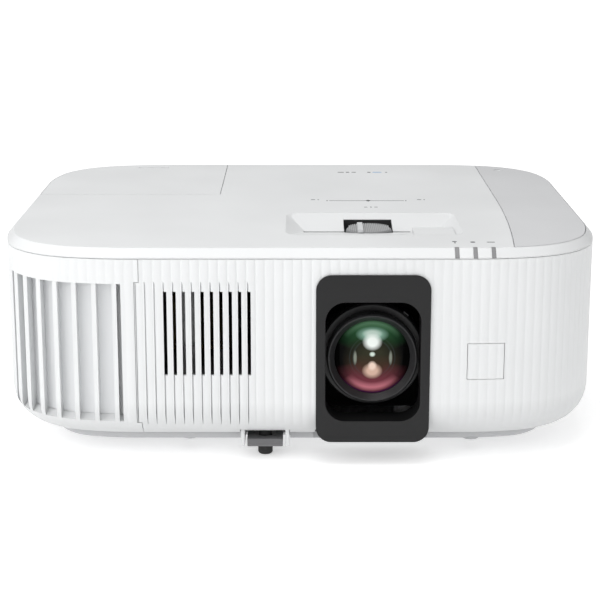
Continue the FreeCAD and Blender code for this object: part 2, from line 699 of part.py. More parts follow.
def rear_ir_window():
    pane = rounded_block(-7.5, 7.5, seam_z - 11.5, seam_z - 3.5, back - wall - 1, back + 0.5, 3.9)
    return pane.common(tub(0, skirt_bottom, seam_z, skirt_radius))


def case_screws():
    """Six screws, driven from below, that pull the lid down on to the side wall and the base."""
    screws = []
    for x, y in case_screw_places():
        head = cylinder(screw_head_radius, 1.8, (x, y, screw_seat_z - 1.8))
        shank = cylinder(1.5, 18, (x, y, screw_seat_z - 0.1))
        cross = [box(x - 1.8, x + 1.8, y - 0.35, y + 0.35, screw_seat_z - 3, screw_seat_z - 1.0),
                 box(x - 0.35, x + 0.35, y - 1.8, y + 1.8, screw_seat_z - 3, screw_seat_z - 1.0)]
        screws.append(cut(join([head, shank]), cross))
    return Part.makeCompound(screws)


def ceiling_inserts():
    inserts = []
    for sx in (-1, 1):
        for sy in (-1, 1):
            place = (sx * insert_x, sy * insert_y)
            sleeve = cylinder(insert_hole_radius + 1.0, 8, (*place, foot_clearance))
            inserts.append(sleeve.cut(cylinder(insert_hole_radius, 9, (*place, foot_clearance - 0.5))))
    return Part.makeCompound(inserts)


# Feet
bracket_back = -104.0
bracket_roof = 15.0
ear_bottom = 7.2
notch_top = 18.0


def foot_notch():
    return box(front_foot_x - bracket_half - gap, front_foot_x + bracket_half + gap, front,
               bracket_back + gap, 0, notch_top)


def foot_housing():
    """White bracket that guides the front foot and carries its lever."""
    x0, x1 = front_foot_x - bracket_half, front_foot_x + bracket_half
    roof = box(x0, x1, lever_front + 5.0, bracket_back, bracket_roof, notch_top - gap)
    ears = [box(x0, x0 + bracket_ear, lever_front + 1.0, bracket_back, ear_bottom, notch_top - gap),
            box(x1 - bracket_ear, x1, lever_front + 1.0, bracket_back, ear_bottom, notch_top - gap)]
    rear = box(x0, x1, bracket_back - 2.0, bracket_back, ear_bottom, bracket_roof + 0.1)
    guide = cylinder(6.5, front_foot_reach + 6, (front_foot_x, front_foot_y, notch_top - gap - 0.1))
    bore = cylinder(front_foot_radius - 0.5 + 0.25, 60, (front_foot_x, front_foot_y, 0))
    pivot = cylinder(1.5 + pin_clearance, 2 * bracket_half + 2,
                     (x0 - 1, lever_pivot_y, lever_pivot_z), Vector(1, 0, 0))
    return cut(join([roof, rear, guide] + ears), [bore, pivot])


def front_foot():
    """Ratchet leg with a rubber sole, dropped by the lever."""
    leg = cylinder(front_foot_radius - 0.5, front_foot_reach + 18, (front_foot_x, front_foot_y, 3.5))
    sole = cylinder(front_foot_radius, 5.0, (front_foot_x, front_foot_y, 0))
    sole = sole.makeFillet(1.5, ring_edges(sole, 0))
    teeth = [Part.makeTorus(front_foot_radius - 0.4, 0.4, Vector(front_foot_x, front_foot_y, 22 + 1.6 * k))
             for k in range(12)]
    return cut(leg, teeth).fuse(sole).removeSplitter()


lever_pivot_y = front_foot_y + 8.0
lever_pivot_z = 11.0


def foot_lever():
    """Paddle around the leg. Squeezing it up frees the ratchet."""
    section = Part.makePolygon([Vector(0, lever_front, 8.4), Vector(0, lever_front + 1.6, 6.8),
                                Vector(0, lever_pivot_y + 2.2, 7.4), Vector(0, lever_pivot_y + 2.2, 13.2),
                                Vector(0, lever_pivot_y - 2.2, 13.2), Vector(0, lever_pivot_y - 3.0, 12.4),
                                Vector(0, lever_front, 11.8), Vector(0, lever_front, 8.4)])
    paddle = Part.Face(section).extrude(Vector(2 * lever_half, 0, 0))
    paddle.translate(Vector(front_foot_x - lever_half, 0, 0))
    trunnion = cylinder(1.5, 2 * bracket_half, (front_foot_x - bracket_half, lever_pivot_y, lever_pivot_z),
                        Vector(1, 0, 0))
    around = cylinder(front_foot_radius + 1.9, 30, (front_foot_x, front_foot_y, 0))
    return join([paddle, trunnion]).cut(around)


def rear_foot(side):
    x = side * rear_foot_x
    stud = cylinder(4.0, 18, (x, rear_foot_y, 3.5))
    disc = cylinder(rear_foot_radius, 2.0, (x, rear_foot_y, 3.0))
    notches = [cylinder(0.9, 3, (x + rear_foot_radius * math.cos(a), rear_foot_y + rear_foot_radius * math.sin(a), 2.5))
               for a in [math.radians(20 * k) for k in range(18)]]
    return cut(join([stud, disc]), notches)


def rear_foot_sole(side):
    x = side * rear_foot_x
    sole = cylinder(rear_foot_radius - 1, 2.9, (x, rear_foot_y, 0))
    return sole.makeFillet(1.0, ring_edges(sole, 0))


# Filter
def filter_cover():
    y0, y1 = filter_y - filter_length / 2 + gap, filter_y + filter_length / 2 - gap
    z0, z1 = filter_bottom + gap, filter_bottom + filter_height - gap
    plate_ = box(width / 2 - wall, width / 2, y0, y1, z0, z1)
    slots = [box(width / 2 - 5, width / 2 + 1, y - slot_width / 2, y + slot_width / 2, z0 + 8, z1 - 8)
             for y in [y0 + 9.7 + rib_pitch * k for k in range(15)]]
    grip = box(width / 2 - 1.2, width / 2 + 1, filter_y - 8, filter_y + 8, z1 - 4.5, z1 - 2.0)
    return cut(plate_, slots + [grip])


def air_filter():
    """Foam panel in a frame, carried on the back of its cover."""
    x1 = width / 2 - wall - 0.1
    y0, y1 = filter_y - filter_length / 2 + 3, filter_y + filter_length / 2 - 3
    z0, z1 = filter_bottom + 3, filter_bottom + filter_height - 3
    frame = box(x1 - 9, x1, y0, y1, z0, z1)
    return cut(frame, [box(x1 - 10, x1 - 4, y0 + 2.5, y1 - 2.5, z0 + 2.5, z1 - 2.5)])


# Lens
def lens_barrel():
    """Fixed tube of the zoom lens, seated in the carriage, with a plate that keeps stray light in."""
    slim = along_y(barrel_radius, focus_front + 5.7, zoom_front + 0.1)
    step = along_y(barrel_step_radius, zoom_front, carriage_front)
    seat = along_y(barrel_step_radius - 1, carriage_front - 0.1, carriage_back)
    tail = along_y(18.0, carriage_back - 0.1, -24.0)
    shade_front = zoom_front + zoom_ring_length + 0.4
    flange = rounded_block(lens_x - shade_half_width, lens_x + shade_half_width, lens_z - shade_below,
                           lens_z + shade_above, shade_front, shade_front + 2.4, 8.0)
    bore = along_y(17.0, focus_front - 1, -60.0).fuse(along_y(15.5, -61.0, -20.0))
    return join([slim, step, seat, tail, flange]).cut(bore)


def focus_ring():
    """Front ring that carries the front glass, with a stepped face and a wide grip collar behind it."""
    ring = along_y(focus_ring_radius, focus_front, focus_front + focus_ring_length)
    ring = ring.makeChamfer(0.8, ring_edges_y(ring, focus_front))
    mouth = Part.makeCone(focus_ring_radius - 1.4, glass_radius - 0.6, 3.6, Vector(lens_x, focus_front - 0.01, lens_z),
                          Vector(0, 1, 0))
    seat = along_y(glass_radius + 0.1, focus_front + 3.4, focus_front + 5.4)
    hollow = along_y(barrel_radius + running_clearance, focus_front + 5.2, focus_front + 20)
    through = along_y(glass_radius - 0.6, focus_front + 3, focus_front + 6)
    collar_front = bezel_front + bezel_depth + 0.5
    collar = along_y(zoom_ring_radius, collar_front, collar_front + 2.0)
    collar = collar.makeChamfer(0.7, ring_edges_y(collar, collar_front))
    ring = cut(ring, knurl_cuts(focus_ring_radius, focus_front + 3, 4.5, 72)).fuse(collar)
    return cut(ring, [mouth, seat, hollow, through])


def knurl_cuts(radius, y0, length, count):
    cuts = []
    for k in range(count // 6):
        a = 2 * math.pi * 6 * k / count
        cuts.append(along_y(0.7, y0, y0 + length, lens_x + radius * math.cos(a), lens_z + radius * math.sin(a)))
    return cuts


def ring_edges_y(solid, y):
    return [e for e in solid.Edges if all(abs(v.Y - y) < 1e-4 for v in e.Vertexes)
            and abs(e.CenterOfMass.y - y) < 1e-4]


def zoom_ring():
    ring = along_y(zoom_ring_radius, zoom_front, zoom_front + zoom_ring_length)
    ring = ring.makeChamfer(1.0, ring_edges_y(ring, zoom_front))
    hollow = along_y(barrel_step_radius + running_clearance, zoom_front - 1, zoom_front + zoom_ring_length + 1)
    groove = along_y(zoom_ring_radius - 1.2, zoom_front - 1, zoom_front + 0.6).cut(
        along_y(zoom_ring_radius - 2.4, zoom_front - 2, zoom_front + 1))
    return cut(ring, [hollow, groove] + knurl_cuts(zoom_ring_radius, zoom_front + 2.5, 7, 90))


def zoom_tab():
    """Finger tab on the zoom ring, in the upper right corner of the bezel opening."""
    angle = 40.0
    tab = box(-1.8, 1.8, zoom_front - 3.0, zoom_front + 2.0, 26.5, zoom_ring_radius + 1.0)
    tab.rotate(Vector(0, 0, 0), Vector(0, 1, 0), angle)
    tab.translate(Vector(lens_x, 0, lens_z))
    return tab


def spherical_lens(radius, y0, thickness, front_radius, back_radius):
    """Round glass between two spherical faces. A negative radius hollows the face."""
    def cap(sphere_radius, face_y, inward):
        centre = face_y + inward * sphere_radius
        return Part.makeSphere(abs(sphere_radius), Vector(lens_x, centre, lens_z))
    disc = along_y(radius, y0, y0 + thickness)
    for sphere_radius, face_y, inward in ((front_radius, y0, 1), (back_radius, y0 + thickness, -1)):
        ball = cap(sphere_radius, face_y, inward)
        disc = disc.common(ball) if sphere_radius > 0 else disc.cut(ball)
    return disc


def front_glass():
    return spherical_lens(glass_radius, focus_front + 0.9, 4.4, 56.0, 600.0)


def rear_glass():
    """Zoom group and back group inside the barrel."""
    return Part.makeCompound([spherical_lens(16.9, -108.0, 7.0, 60.0, 90.0),
                              spherical_lens(16.9, -84.0, 6.0, 120.0, 55.0),
                              spherical_lens(15.4, -40.0, 7.0, 45.0, 45.0)])


def lens_carriage():
    """Plate that carries the lens up and down on two rods, with the drive nut."""
    body = box(lens_x - rod_spread - 5.5, lens_x + rod_spread + 5.5, carriage_front, carriage_back, 28.0, 87.5)
    sleeves = [cylinder(5.2, 24, (lens_x + s * rod_spread, rod_y, lens_z - 12)) for s in (-1, 1)]
    arm = box(screw_x - 4.5, screw_x + 4.5, dial_y - 1, carriage_front + 1, lens_z - 6, lens_z + 6)
    nut = cylinder(6.0, 14, (screw_x, dial_y, lens_z - 7))
    body = join([body, arm, nut] + sleeves)
    tools = [along_y(barrel_step_radius - 1, carriage_front - 5, carriage_back + 5),
             along_y(barrel_step_radius + 0.1, carriage_front - 20, carriage_front),
             cylinder(screw_radius + 0.15, 80, (screw_x, dial_y, 10))]
    tools += [cylinder(rod_radius + pin_clearance, 90, (lens_x + s * rod_spread, rod_y, 10)) for s in (-1, 1)]
    return cut(body, tools)


def shift_frame():
    """Bracket that holds the rods, the drive screw and the dial's pin."""
    x0, x1 = lens_x - rod_spread - 8, lens_x + rod_spread + 8
    back_plate = box(x0, x1, -47.5, -44.5, 18, frame_top)
    slot = rounded_block(lens_x - 21, lens_x + 21, lens_z - 21 - shift_travel - 1, lens_z + 21 + shift_travel + 1,
                         -50, -40, 20.9)
    top = box(x0, x1, -60.0, -44.5, frame_top - 3, frame_top)
    arms = [box(screw_x - 8, lens_x + 8, dial_y - 8, -59, frame_top - 3, frame_top),
            box(screw_x - 8, screw_x + 8, dial_y - 8, -44.5, 18, 21)]
    bottom = box(x0, x1, -60.0, -44.5, 18, 21)
    pin = cylinder(3.0, 11, (lens_x, dial_y, frame_top - 1))
    body = join([back_plate.cut(slot), top, bottom, pin] + arms)
    tools = [cylinder(rod_radius, 90, (lens_x + s * rod_spread, rod_y, 10)) for s in (-1, 1)]
    tools += [cylinder(screw_radius + pin_clearance, 90, (screw_x, dial_y, 10))]
    return cut(body, tools)


def guide_rods():
    return Part.makeCompound([cylinder(rod_radius, frame_top - 18, (lens_x + s * rod_spread, rod_y, 18))
                              for s in (-1, 1)])


def shift_screw():
    shaft = cylinder(screw_radius, gear_z + gear_face - 17, (screw_x, dial_y, 17))
    pinion = gear(pinion_teeth, gear_face, (screw_x, dial_y, gear_z))
    collar = cylinder(screw_radius + 1.5, 1.5, (screw_x, dial_y, 15.5)).fuse(
        cylinder(screw_radius, 2, (screw_x, dial_y, 15.5)))
    grooves = [Part.makeTorus(screw_radius + 0.3, 0.5, Vector(screw_x, dial_y, 40 + 3 * k)) for k in range(14)]
    return cut(join([shaft, pinion, collar]), grooves)


def shift_dial():
    """Ribbed thumb dial in the scoop, with its gear underneath."""
    wheel = gear(dial_teeth, gear_face, (lens_x, dial_y, gear_z))
    hub = cylinder(7.0, 14, (lens_x, dial_y, gear_z + gear_face - 0.1))
    top_z = height - 2.6
    disc = cylinder(dial_radius, 6.9, (lens_x, dial_y, top_z - 6.9))
    disc = disc.makeFillet(1.6, ring_edges(disc, top_z))
    ribs = [cylinder(0.55, 12, (lens_x + dial_radius * math.cos(a), dial_y + dial_radius * math.sin(a), top_z - 7.9))
            for a in [math.radians(7.5 * k) for k in range(48)]]
    bore = cylinder(3.0 + pin_clearance, 13, (lens_x, dial_y, gear_z - 1))
    return cut(join([wheel, hub, cut(disc, ribs)]), [bore])


def dial_pointer():
    """Raised finger bar across the dial, left of its middle."""
    return box(lens_x - 6.5, lens_x - 3.5, dial_y - dial_radius + 0.8, dial_y + 9.0, height - 2.6, height - 0.9)


# Optical engine
engine_x0, engine_x1, engine_y0, engine_y1 = -24.0, 111.0, -10.0, 99.0
engine_bottom, engine_top = 38.0, 77.0


def engine_base():
    body = box(engine_x0, engine_x1, engine_y0, engine_y1, engine_bottom, engine_top)
    hollow = box(engine_x0 + 2.5, engine_x1 - 2.5, engine_y0 + 2.5, engine_y1 - 2.5, engine_bottom + 3, engine_top + 1)
    lens_port = along_y(18.5, engine_y0 - 5, engine_y0 + 5)
    lamp_port = cylinder(17.0, 10, (engine_x1 - 5, 84.0, lens_z), Vector(1, 0, 0))
    corner = box(66, 200, engine_y0 - 1, -2.0, 0, 100)
    return cut(body, [hollow, lens_port, lamp_port, corner]).fuse(
        box(66, engine_x1, -4.5, -2.0, engine_bottom, engine_top)).removeSplitter()


def engine_cover():
    lid = box(engine_x0, engine_x1, engine_y0, engine_y1, engine_top, engine_top + 2)
    lid = lid.cut(box(66, 200, engine_y0 - 1, -4.5, 0, 100))
    ribs = [box(engine_x0 + 12 + 20 * k, engine_x0 + 14 + 20 * k, 0, engine_y1 - 8, engine_top + 1.9, engine_top + 2.8)
            for k in range(6)]
    return join([lid] + ribs)


def prism():
    half = 11.5
    return box(lens_x - half, lens_x + half, 2.0, 2.0 + 2 * half, lens_z - half, lens_z + half)


def lcd_panels():
    """Three panels on the sides of the prism, each with its frame."""
    def panel(turn):
        frame = box(-13, 13, 12.2, 14.4, lens_z - 11, lens_z + 15)
        frame = frame.cut(box(-8.5, 8.5, 11, 13.2, lens_z - 6, lens_z + 6))
        frame.rotate(Vector(0, 0, 0), Vector(0, 0, 1), turn)
        frame.translate(Vector(lens_x, 13.5, 0))
        return frame
    return Part.makeCompound([panel(t) for t in (-90, 0, 90)])


def relay_optics():
    """Fly-eye plates, dichroic mirrors, fold mirrors and relay lenses."""
    def mirror(x, y, turn, length=40.0):
        pane = box(-length / 2, length / 2, -0.8, 0.8, lens_z - 16, lens_z + 16)
        pane.rotate(Vector(0, 0, 0), Vector(0, 0, 1), turn)
        pane.translate(Vector(x, y, 0))
        return pane
    plates = [box(x, x + 2.5, 68, 96, lens_z - 14, lens_z + 14) for x in (104.5, 97.0)]
    mirrors = [mirror(80, 80, 45, 36), mirror(39.5, 80, 45, 36), mirror(-8.5, 82, 45, 30),
               mirror(-8.5, 12, -45, 30), mirror(86, 16, 45, 30)]
    relay = [cylinder(12.0, 4.0, (x, y, lens_z), Vector(*axis)) for x, y, axis in
             ((58.0, 84.0, (1, 0, 0)), (-9.0, 44.0, (0, 1, 0)), (84.0, 46.0, (0, 1, 0)))]
    return Part.makeCompound(plates + mirrors + relay)


# Lamp
lamp_y = 84.0


def lamp_housing():
    body = box(113.0, 152.0, lamp_y - 24, lamp_y + 24, 34.0, 84.0)
    hollow = box(112.0, 149.5, lamp_y - 21.5, lamp_y + 21.5, 36.5, 85.0)
    vents = [box(100, 200, lamp_y - 16 + 8 * k, lamp_y - 12 + 8 * k, 44, 74) for k in range(5)]
    lid = box(113.0, 152.0, lamp_y - 24, lamp_y + 24, 82.0, 84.5)
    grip = box(126.0, 142.0, lamp_y - 12, lamp_y + 12, 84.0, 96.0).cut(
        box(125.0, 143.0, lamp_y - 9, lamp_y + 9, 86.0, 93.5))
    return join([cut(body, [hollow] + vents[1:4:2]), lid, grip])


def turned_on_x(x, y, z, edges):
    """Solid of revolution about a line along X; the profile's first axis is X and its second is radius."""
    placed = []
    for points in edges:
        corners = [Vector(x + px, y, z + radius) for px, radius in points]
        curve = Part.Arc(*corners) if len(corners) == 3 else Part.LineSegment(*corners)
        placed.append(curve.toShape())
    face = Part.Face(Part.Wire(placed))
    return face.revolve(Vector(x, y, z), Vector(1, 0, 0), 360)


def on_circle(radius, height_above):
    return math.sqrt(radius ** 2 - height_above ** 2), height_above


def lamp_reflector():
    """Deep bowl that opens towards the optical engine."""
    outer, inner, neck, bore, mouth, tail = 21.0, 19.0, 5.0, 3.2, -3.4, 25.5
    outer_end, inner_end = on_circle(outer, neck), on_circle(inner, bore)
    outer_mid = (outer * math.cos(0.9), outer * math.sin(0.9))
    inner_mid = (inner * math.cos(0.9), inner * math.sin(0.9))
    edges = [[(mouth, inner), (mouth, outer)], [(mouth, outer), (0, outer)], [(0, outer), outer_mid, outer_end],
             [outer_end, (tail, neck)], [(tail, neck), (tail, bore)], [(tail, bore), inner_end],
             [inner_end, inner_mid, (0, inner)], [(0, inner), (mouth, inner)]]
    return turned_on_x(122.0, lamp_y, lens_z, edges)


def lamp_burner():
    """Quartz tube with a round bulb at the reflector's focus."""
    tube, bulb, reach = 3.0, 5.0, 17.0
    start, end = (-4.0, tube), (4.0, tube)
    edges = [[(-11.0, 0), (-11.0, tube)], [(-11.0, tube), start], [start, (0, bulb), end],
             [end, (reach, tube)], [(reach, tube), (reach, 0)], [(reach, 0), (-11.0, 0)]]
    return turned_on_x(130.0, lamp_y, lens_z, edges)


# Boards, fans, speaker
def board(x0, x1, y0, y1, z, holes):
    base = box(x0, x1, y0, y1, z, z + 1.6)
    return cut(base, [cylinder(1.6, 5, (x, y, z - 1)) for x, y in holes])


def main_board():
    base = board(-45, 60, 24, back - panel_recess - wall - 0.3, socket_z - 1.6, [(-40, 30), (55, 30)])
    chips = [box(x, x + w, y, y + d, socket_z - 0.1, socket_z + h) for x, y, w, d, h in
             ((-10, 60, 28, 28, 3), (28, 66, 14, 14, 1.6), (-34, 62, 14, 20, 1.6), (30, 92, 20, 8, 2.4),
              (-38, 36, 22, 12, 6), (-4, 34, 30, 6, 5), (34, 40, 16, 16, 8))]
    sink = [box(-9 + 4 * k, -7.5 + 4 * k, 61, 87, socket_z + 2.9, socket_z + 11) for k in range(7)]
    return join([base] + chips + sink)


def power_board():
    base = board(-136, -44, 16, 92, 22.0, [(-130, 22), (-50, 22), (-130, 86), (-50, 86)])
    parts = [box(x, x + w, y, y + d, 23.5, 23.5 + h) for x, y, w, d, h in
             ((-132, 30, 34, 28, 26), (-94, 30, 26, 26, 30), (-124, 70, 40, 4, 34), (-80, 72, 18, 16, 18),
              (-62, 34, 12, 28, 20))]
    cans = [cylinder(r, h, (x, y, 23.5)) for x, y, r, h in ((-54, 74, 6, 30), (-112, 82, 5, 22), (-98, 82, 5, 22))]
    return join([base] + parts + cans)


def ballast_board():
    base = board(88, 132, -100, -62, 22.0, [(92, -96), (128, -96), (92, -66), (128, -66)])
    parts = [box(x, x + w, y, y + d, 23.5, 23.5 + h) for x, y, w, d, h in
             ((96, -94, 18, 16, 16), (96, -74, 28, 3, 20), (118, -94, 8, 14, 12))]
    return join([base] + parts)


def fan_turned(solid):
    solid.rotate(Vector(0, 0, 0), Vector(0, 0, 1), 45)
    solid.translate(Vector(fan_x, fan_y, lens_z + 4))
    return solid


def exhaust_fan_frame():
    """Square frame whose round duct looks at the exhaust grille."""
    h, t = fan_size / 2, fan_thickness / 2
    frame = box(-t, t, -h, h, -h, h)
    duct = cylinder(h - 2.5, fan_thickness + 2, (-t - 1, 0, 0), Vector(1, 0, 0))
    holes = [cylinder(2.1, fan_thickness + 2, (-t - 1, sy * (h - 5), sz * (h - 5)), Vector(1, 0, 0))
             for sy in (-1, 1) for sz in (-1, 1)]
    spokes = [box(t - 2, t, -1.5, 1.5, 10, h - 2), box(t - 2, t, -1.5, 1.5, -h + 2, -10),
              box(t - 2, t, -h + 2, -10, -1.5, 1.5)]
    hub = cylinder(13.0, 2.0, (t - 2, 0, 0), Vector(1, 0, 0))
    pin = cylinder(1.5, 14, (t - 15.9, 0, 0), Vector(1, 0, 0))
    return fan_turned(join([cut(frame, [duct] + holes), hub, pin] + spokes))


def exhaust_fan_rotor():
    t = fan_thickness / 2
    hub = cylinder(14.0, 19, (-t + 2, 0, 0), Vector(1, 0, 0))
    blades = []
    for k in range(7):
        blade = box(-8.5, 8.5, -0.8, 0.8, 12.5, fan_size / 2 - 3.6)
        blade.rotate(Vector(0, 0, 0), Vector(0, 0, 1), 38)
        blade.rotate(Vector(0, 0, 0), Vector(1, 0, 0), 360 / 7 * k)
        blades.append(blade.common(box(-t + 2, t - 3, -60, 60, -60, 60)))
    bore = cylinder(1.5 + pin_clearance, 22, (-t + 9, 0, 0), Vector(1, 0, 0))
    return fan_turned(join([hub] + blades).cut(bore))


blower_x, blower_y, blower_z = 128.0, -20.0, 62.0


def blower_case():
    """Centrifugal blower behind the filter, blowing across the panels."""
    x0, x1 = blower_x - 11, blower_x + 11
    scroll = cylinder(29.0, x1 - x0, (x0, blower_y, blower_z), Vector(1, 0, 0))
    spout = box(x0, x1, blower_y, blower_y + 48, blower_z - 29, blower_z - 9)
    inside = cylinder(27.2, x1 - x0 - 3, (x0 + 1.5, blower_y, blower_z), Vector(1, 0, 0))
    throat = box(x0 + 1.5, x1 - 1.5, blower_y, blower_y + 50, blower_z - 27.2, blower_z - 10.8)
    eye = cylinder(16.0, 6, (x1 - 3, blower_y, blower_z), Vector(1, 0, 0))
    pin = cylinder(1.5, 12, (x0 + 1, blower_y, blower_z), Vector(1, 0, 0))
    return join([cut(join([scroll, spout]), [inside, throat, eye]), pin])


def blower_wheel():
    x0 = blower_x - 11
    hub = cylinder(9.0, 13, (x0 + 3, blower_y, blower_z), Vector(1, 0, 0))
    disc = cylinder(23.0, 1.6, (x0 + 3, blower_y, blower_z), Vector(1, 0, 0))
    rim = cylinder(24.0, 1.6, (x0 + 16.4, blower_y, blower_z), Vector(1, 0, 0)).cut(
        cylinder(19.5, 4, (x0 + 15.5, blower_y, blower_z), Vector(1, 0, 0)))
    vanes = []
    for k in range(24):
        vane = box(x0 + 3, x0 + 17, -0.5, 0.5, 19.4, 23.2)
        vane.rotate(Vector(0, 0, 0), Vector(1, 0, 0), 15 * k)
        vane.translate(Vector(0, blower_y, blower_z))
        vanes.append(vane)
    bore = cylinder(1.5 + pin_clearance, 11, (x0 + 2.5, blower_y, blower_z), Vector(1, 0, 0))
    return join([hub, disc, rim] + vanes).cut(bore)


def speaker():
    """Small round driver behind the slots in the left side."""
    x0 = -width / 2 + wall + 1.5
    z = (speaker_slot_bottom + speaker_slot_top) / 2
    place = (x0, speaker_slot_y, z)
    flange = box(x0, x0 + 2, speaker_slot_y - 21, speaker_slot_y + 21, z - 21, z + 21)
    flange = flange.cut(cylinder(17.5, 6, (x0 - 1, speaker_slot_y, z), Vector(1, 0, 0)))
    cone = Part.makeCone(18.5, 8, 9, Vector(x0 + 1.5, speaker_slot_y, z), Vector(1, 0, 0)).cut(
        Part.makeCone(17.5, 7, 8, Vector(x0 + 1.4, speaker_slot_y, z), Vector(1, 0, 0)))
    magnet = cylinder(11.0, 7, (place[0] + 10.2, place[1], place[2]), Vector(1, 0, 0))
    return join([flange, cone, magnet])


# Buttons
def button(x, z, radius, proud=1.0):
    cap = along_y(radius, back - wall - 1, back + proud - 0.0, x, z)
    cap = cap.makeFillet(0.4, ring_edges_y(cap, back + proud))
    flange = along_y(radius + 1.0, back - wall - 2.6, back - wall - 1.2, x, z).fuse(
        along_y(radius, back - wall - 2.6, back - wall, x, z))
    return join([cap, flange])


def arrow_ring():
    ring = along_y(arrow_radius, back - wall - 1, back + 1.0, button_x, arrow_z)
    ring = ring.makeFillet(0.4, ring_edges_y(ring, back + 1.0))
    flange = along_y(arrow_radius + 1.0, back - wall - 2.6, back - wall - 1.2, button_x, arrow_z).fuse(
        along_y(arrow_radius, back - wall - 2.6, back - wall, button_x, arrow_z))
    return join([ring, flange]).cut(along_y(enter_radius + 1.2 + gap, back - 20, back + 5, button_x, arrow_z))


def button_board():
    y1 = back - wall - 2.6 - button_travel - 1.0
    base = box(button_x - 17, button_x + 17, y1 - 1.6, y1, 52, 110)
    switches = [box(x - 2.5, x + 2.5, y1 - 0.1, y1 + 0.8, z - 2.5, z + 2.5) for _, x, z, _ in button_places()]
    switches += [box(button_x + dx - 2, button_x + dx + 2, y1 - 0.1, y1 + 0.8, arrow_z + dz - 2, arrow_z + dz + 2)
                 for dx, dz in ((9, 0), (-9, 0), (0, 9), (0, -9), (0, 0))]
    return join([base] + switches)


# Write every node
def build():
    whole = case_wall()
    nodes = {
        "upper_case": upper_case(), "side_wall": side_wall(whole), "lower_case": lower_case(),
        "exhaust_grille": exhaust_grille(whole), "exhaust_baffle": exhaust_baffle(), "rear_panel": rear_panel(), "lens_bezel": lens_bezel(),
        "front_ir_window": front_ir_window(), "rear_ir_window": rear_ir_window(),
        "indicator_lights": indicator_lights(), "lamp_cover": lamp_cover(), "lamp_cover_screw": lamp_cover_screw(),
        "stick_cover": stick_cover(), "stick_bay": stick_bay(), "filter_cover": filter_cover(),
        "air_filter": air_filter(), "case_screws": case_screws(), "ceiling_inserts": ceiling_inserts(),
        "foot_housing": foot_housing(), "front_foot": front_foot(),
        "foot_lever": foot_lever(), "rear_foot_left": rear_foot(-1), "rear_foot_right": rear_foot(1),
        "rear_sole_left": rear_foot_sole(-1), "rear_sole_right": rear_foot_sole(1),
        "lens_carriage": lens_carriage(), "lens_barrel": lens_barrel(), "focus_ring": focus_ring(),
        "zoom_ring": join([zoom_ring(), zoom_tab()]), "front_glass": front_glass(), "rear_glass": rear_glass(),
        "shift_frame": shift_frame(), "guide_rods": guide_rods(), "shift_screw": shift_screw(),
        "shift_dial": shift_dial(), "dial_pointer": dial_pointer(), "engine_base": engine_base(),
        "engine_cover": engine_cover(), "prism": prism(), "lcd_panels": lcd_panels(), "relay_optics": relay_optics(),
        "lamp_housing": lamp_housing(), "lamp_reflector": lamp_reflector(), "lamp_burner": lamp_burner(),
        "main_board": main_board(), "power_board": power_board(), "ballast_board": ballast_board(),
        "signal_sockets": signal_sockets(), "power_inlet": power_inlet(),
        "exhaust_fan_frame": exhaust_fan_frame(), "exhaust_fan_rotor": exhaust_fan_rotor(),
        "blower_case": blower_case(), "blower_wheel": blower_wheel(),
        "speaker": speaker(), "arrow_ring": arrow_ring(),
        "enter_button": button(button_x, arrow_z, enter_radius), "button_board": button_board(),
    }
    for name, x, z, radius in button_places():
        nodes[name] = button(x, z, radius)
    return nodes


os.makedirs("parts", exist_ok=True)
for node, shape in build().items():
    shape.exportStep(os.path.join("parts", node + ".step"))
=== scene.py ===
import math
import bpy
import bmesh
import numpy as np
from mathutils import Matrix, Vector


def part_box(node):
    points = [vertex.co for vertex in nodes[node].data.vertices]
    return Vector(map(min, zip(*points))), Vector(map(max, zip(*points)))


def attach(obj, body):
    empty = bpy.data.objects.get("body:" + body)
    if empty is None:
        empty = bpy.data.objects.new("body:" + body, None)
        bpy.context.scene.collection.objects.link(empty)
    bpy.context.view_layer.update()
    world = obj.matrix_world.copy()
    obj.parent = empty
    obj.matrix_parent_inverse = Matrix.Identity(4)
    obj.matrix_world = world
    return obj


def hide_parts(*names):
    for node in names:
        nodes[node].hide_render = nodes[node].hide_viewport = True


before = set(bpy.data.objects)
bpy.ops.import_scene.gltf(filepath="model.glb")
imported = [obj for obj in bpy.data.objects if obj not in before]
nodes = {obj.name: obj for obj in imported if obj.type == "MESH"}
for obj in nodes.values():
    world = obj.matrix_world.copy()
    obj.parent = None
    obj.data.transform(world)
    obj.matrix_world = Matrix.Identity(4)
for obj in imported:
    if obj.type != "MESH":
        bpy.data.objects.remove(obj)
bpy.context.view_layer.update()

mm = 0.001
print("frame loaded:", len(nodes), "nodes")

# the case outline: straight sides, corners of three arcs, all in metres
case = {"halfWidth": 0.1665, "halfDepth": 0.1375, "leadRadius": 0.130, "leadAngle": 15.0, "cornerRadius": 0.052,
        "seamZ": 0.1155, "skirtTop": 0.0335, "skirtRadius": 0.020, "floorZ": 0.0135, "floorInset": 0.024,
        "wall": 0.0025}


def cornerSteps():
    lead = math.radians(case["leadAngle"])
    return [(case["leadRadius"], lead), (case["cornerRadius"], math.pi / 2 - 2 * lead), (case["leadRadius"], lead)]


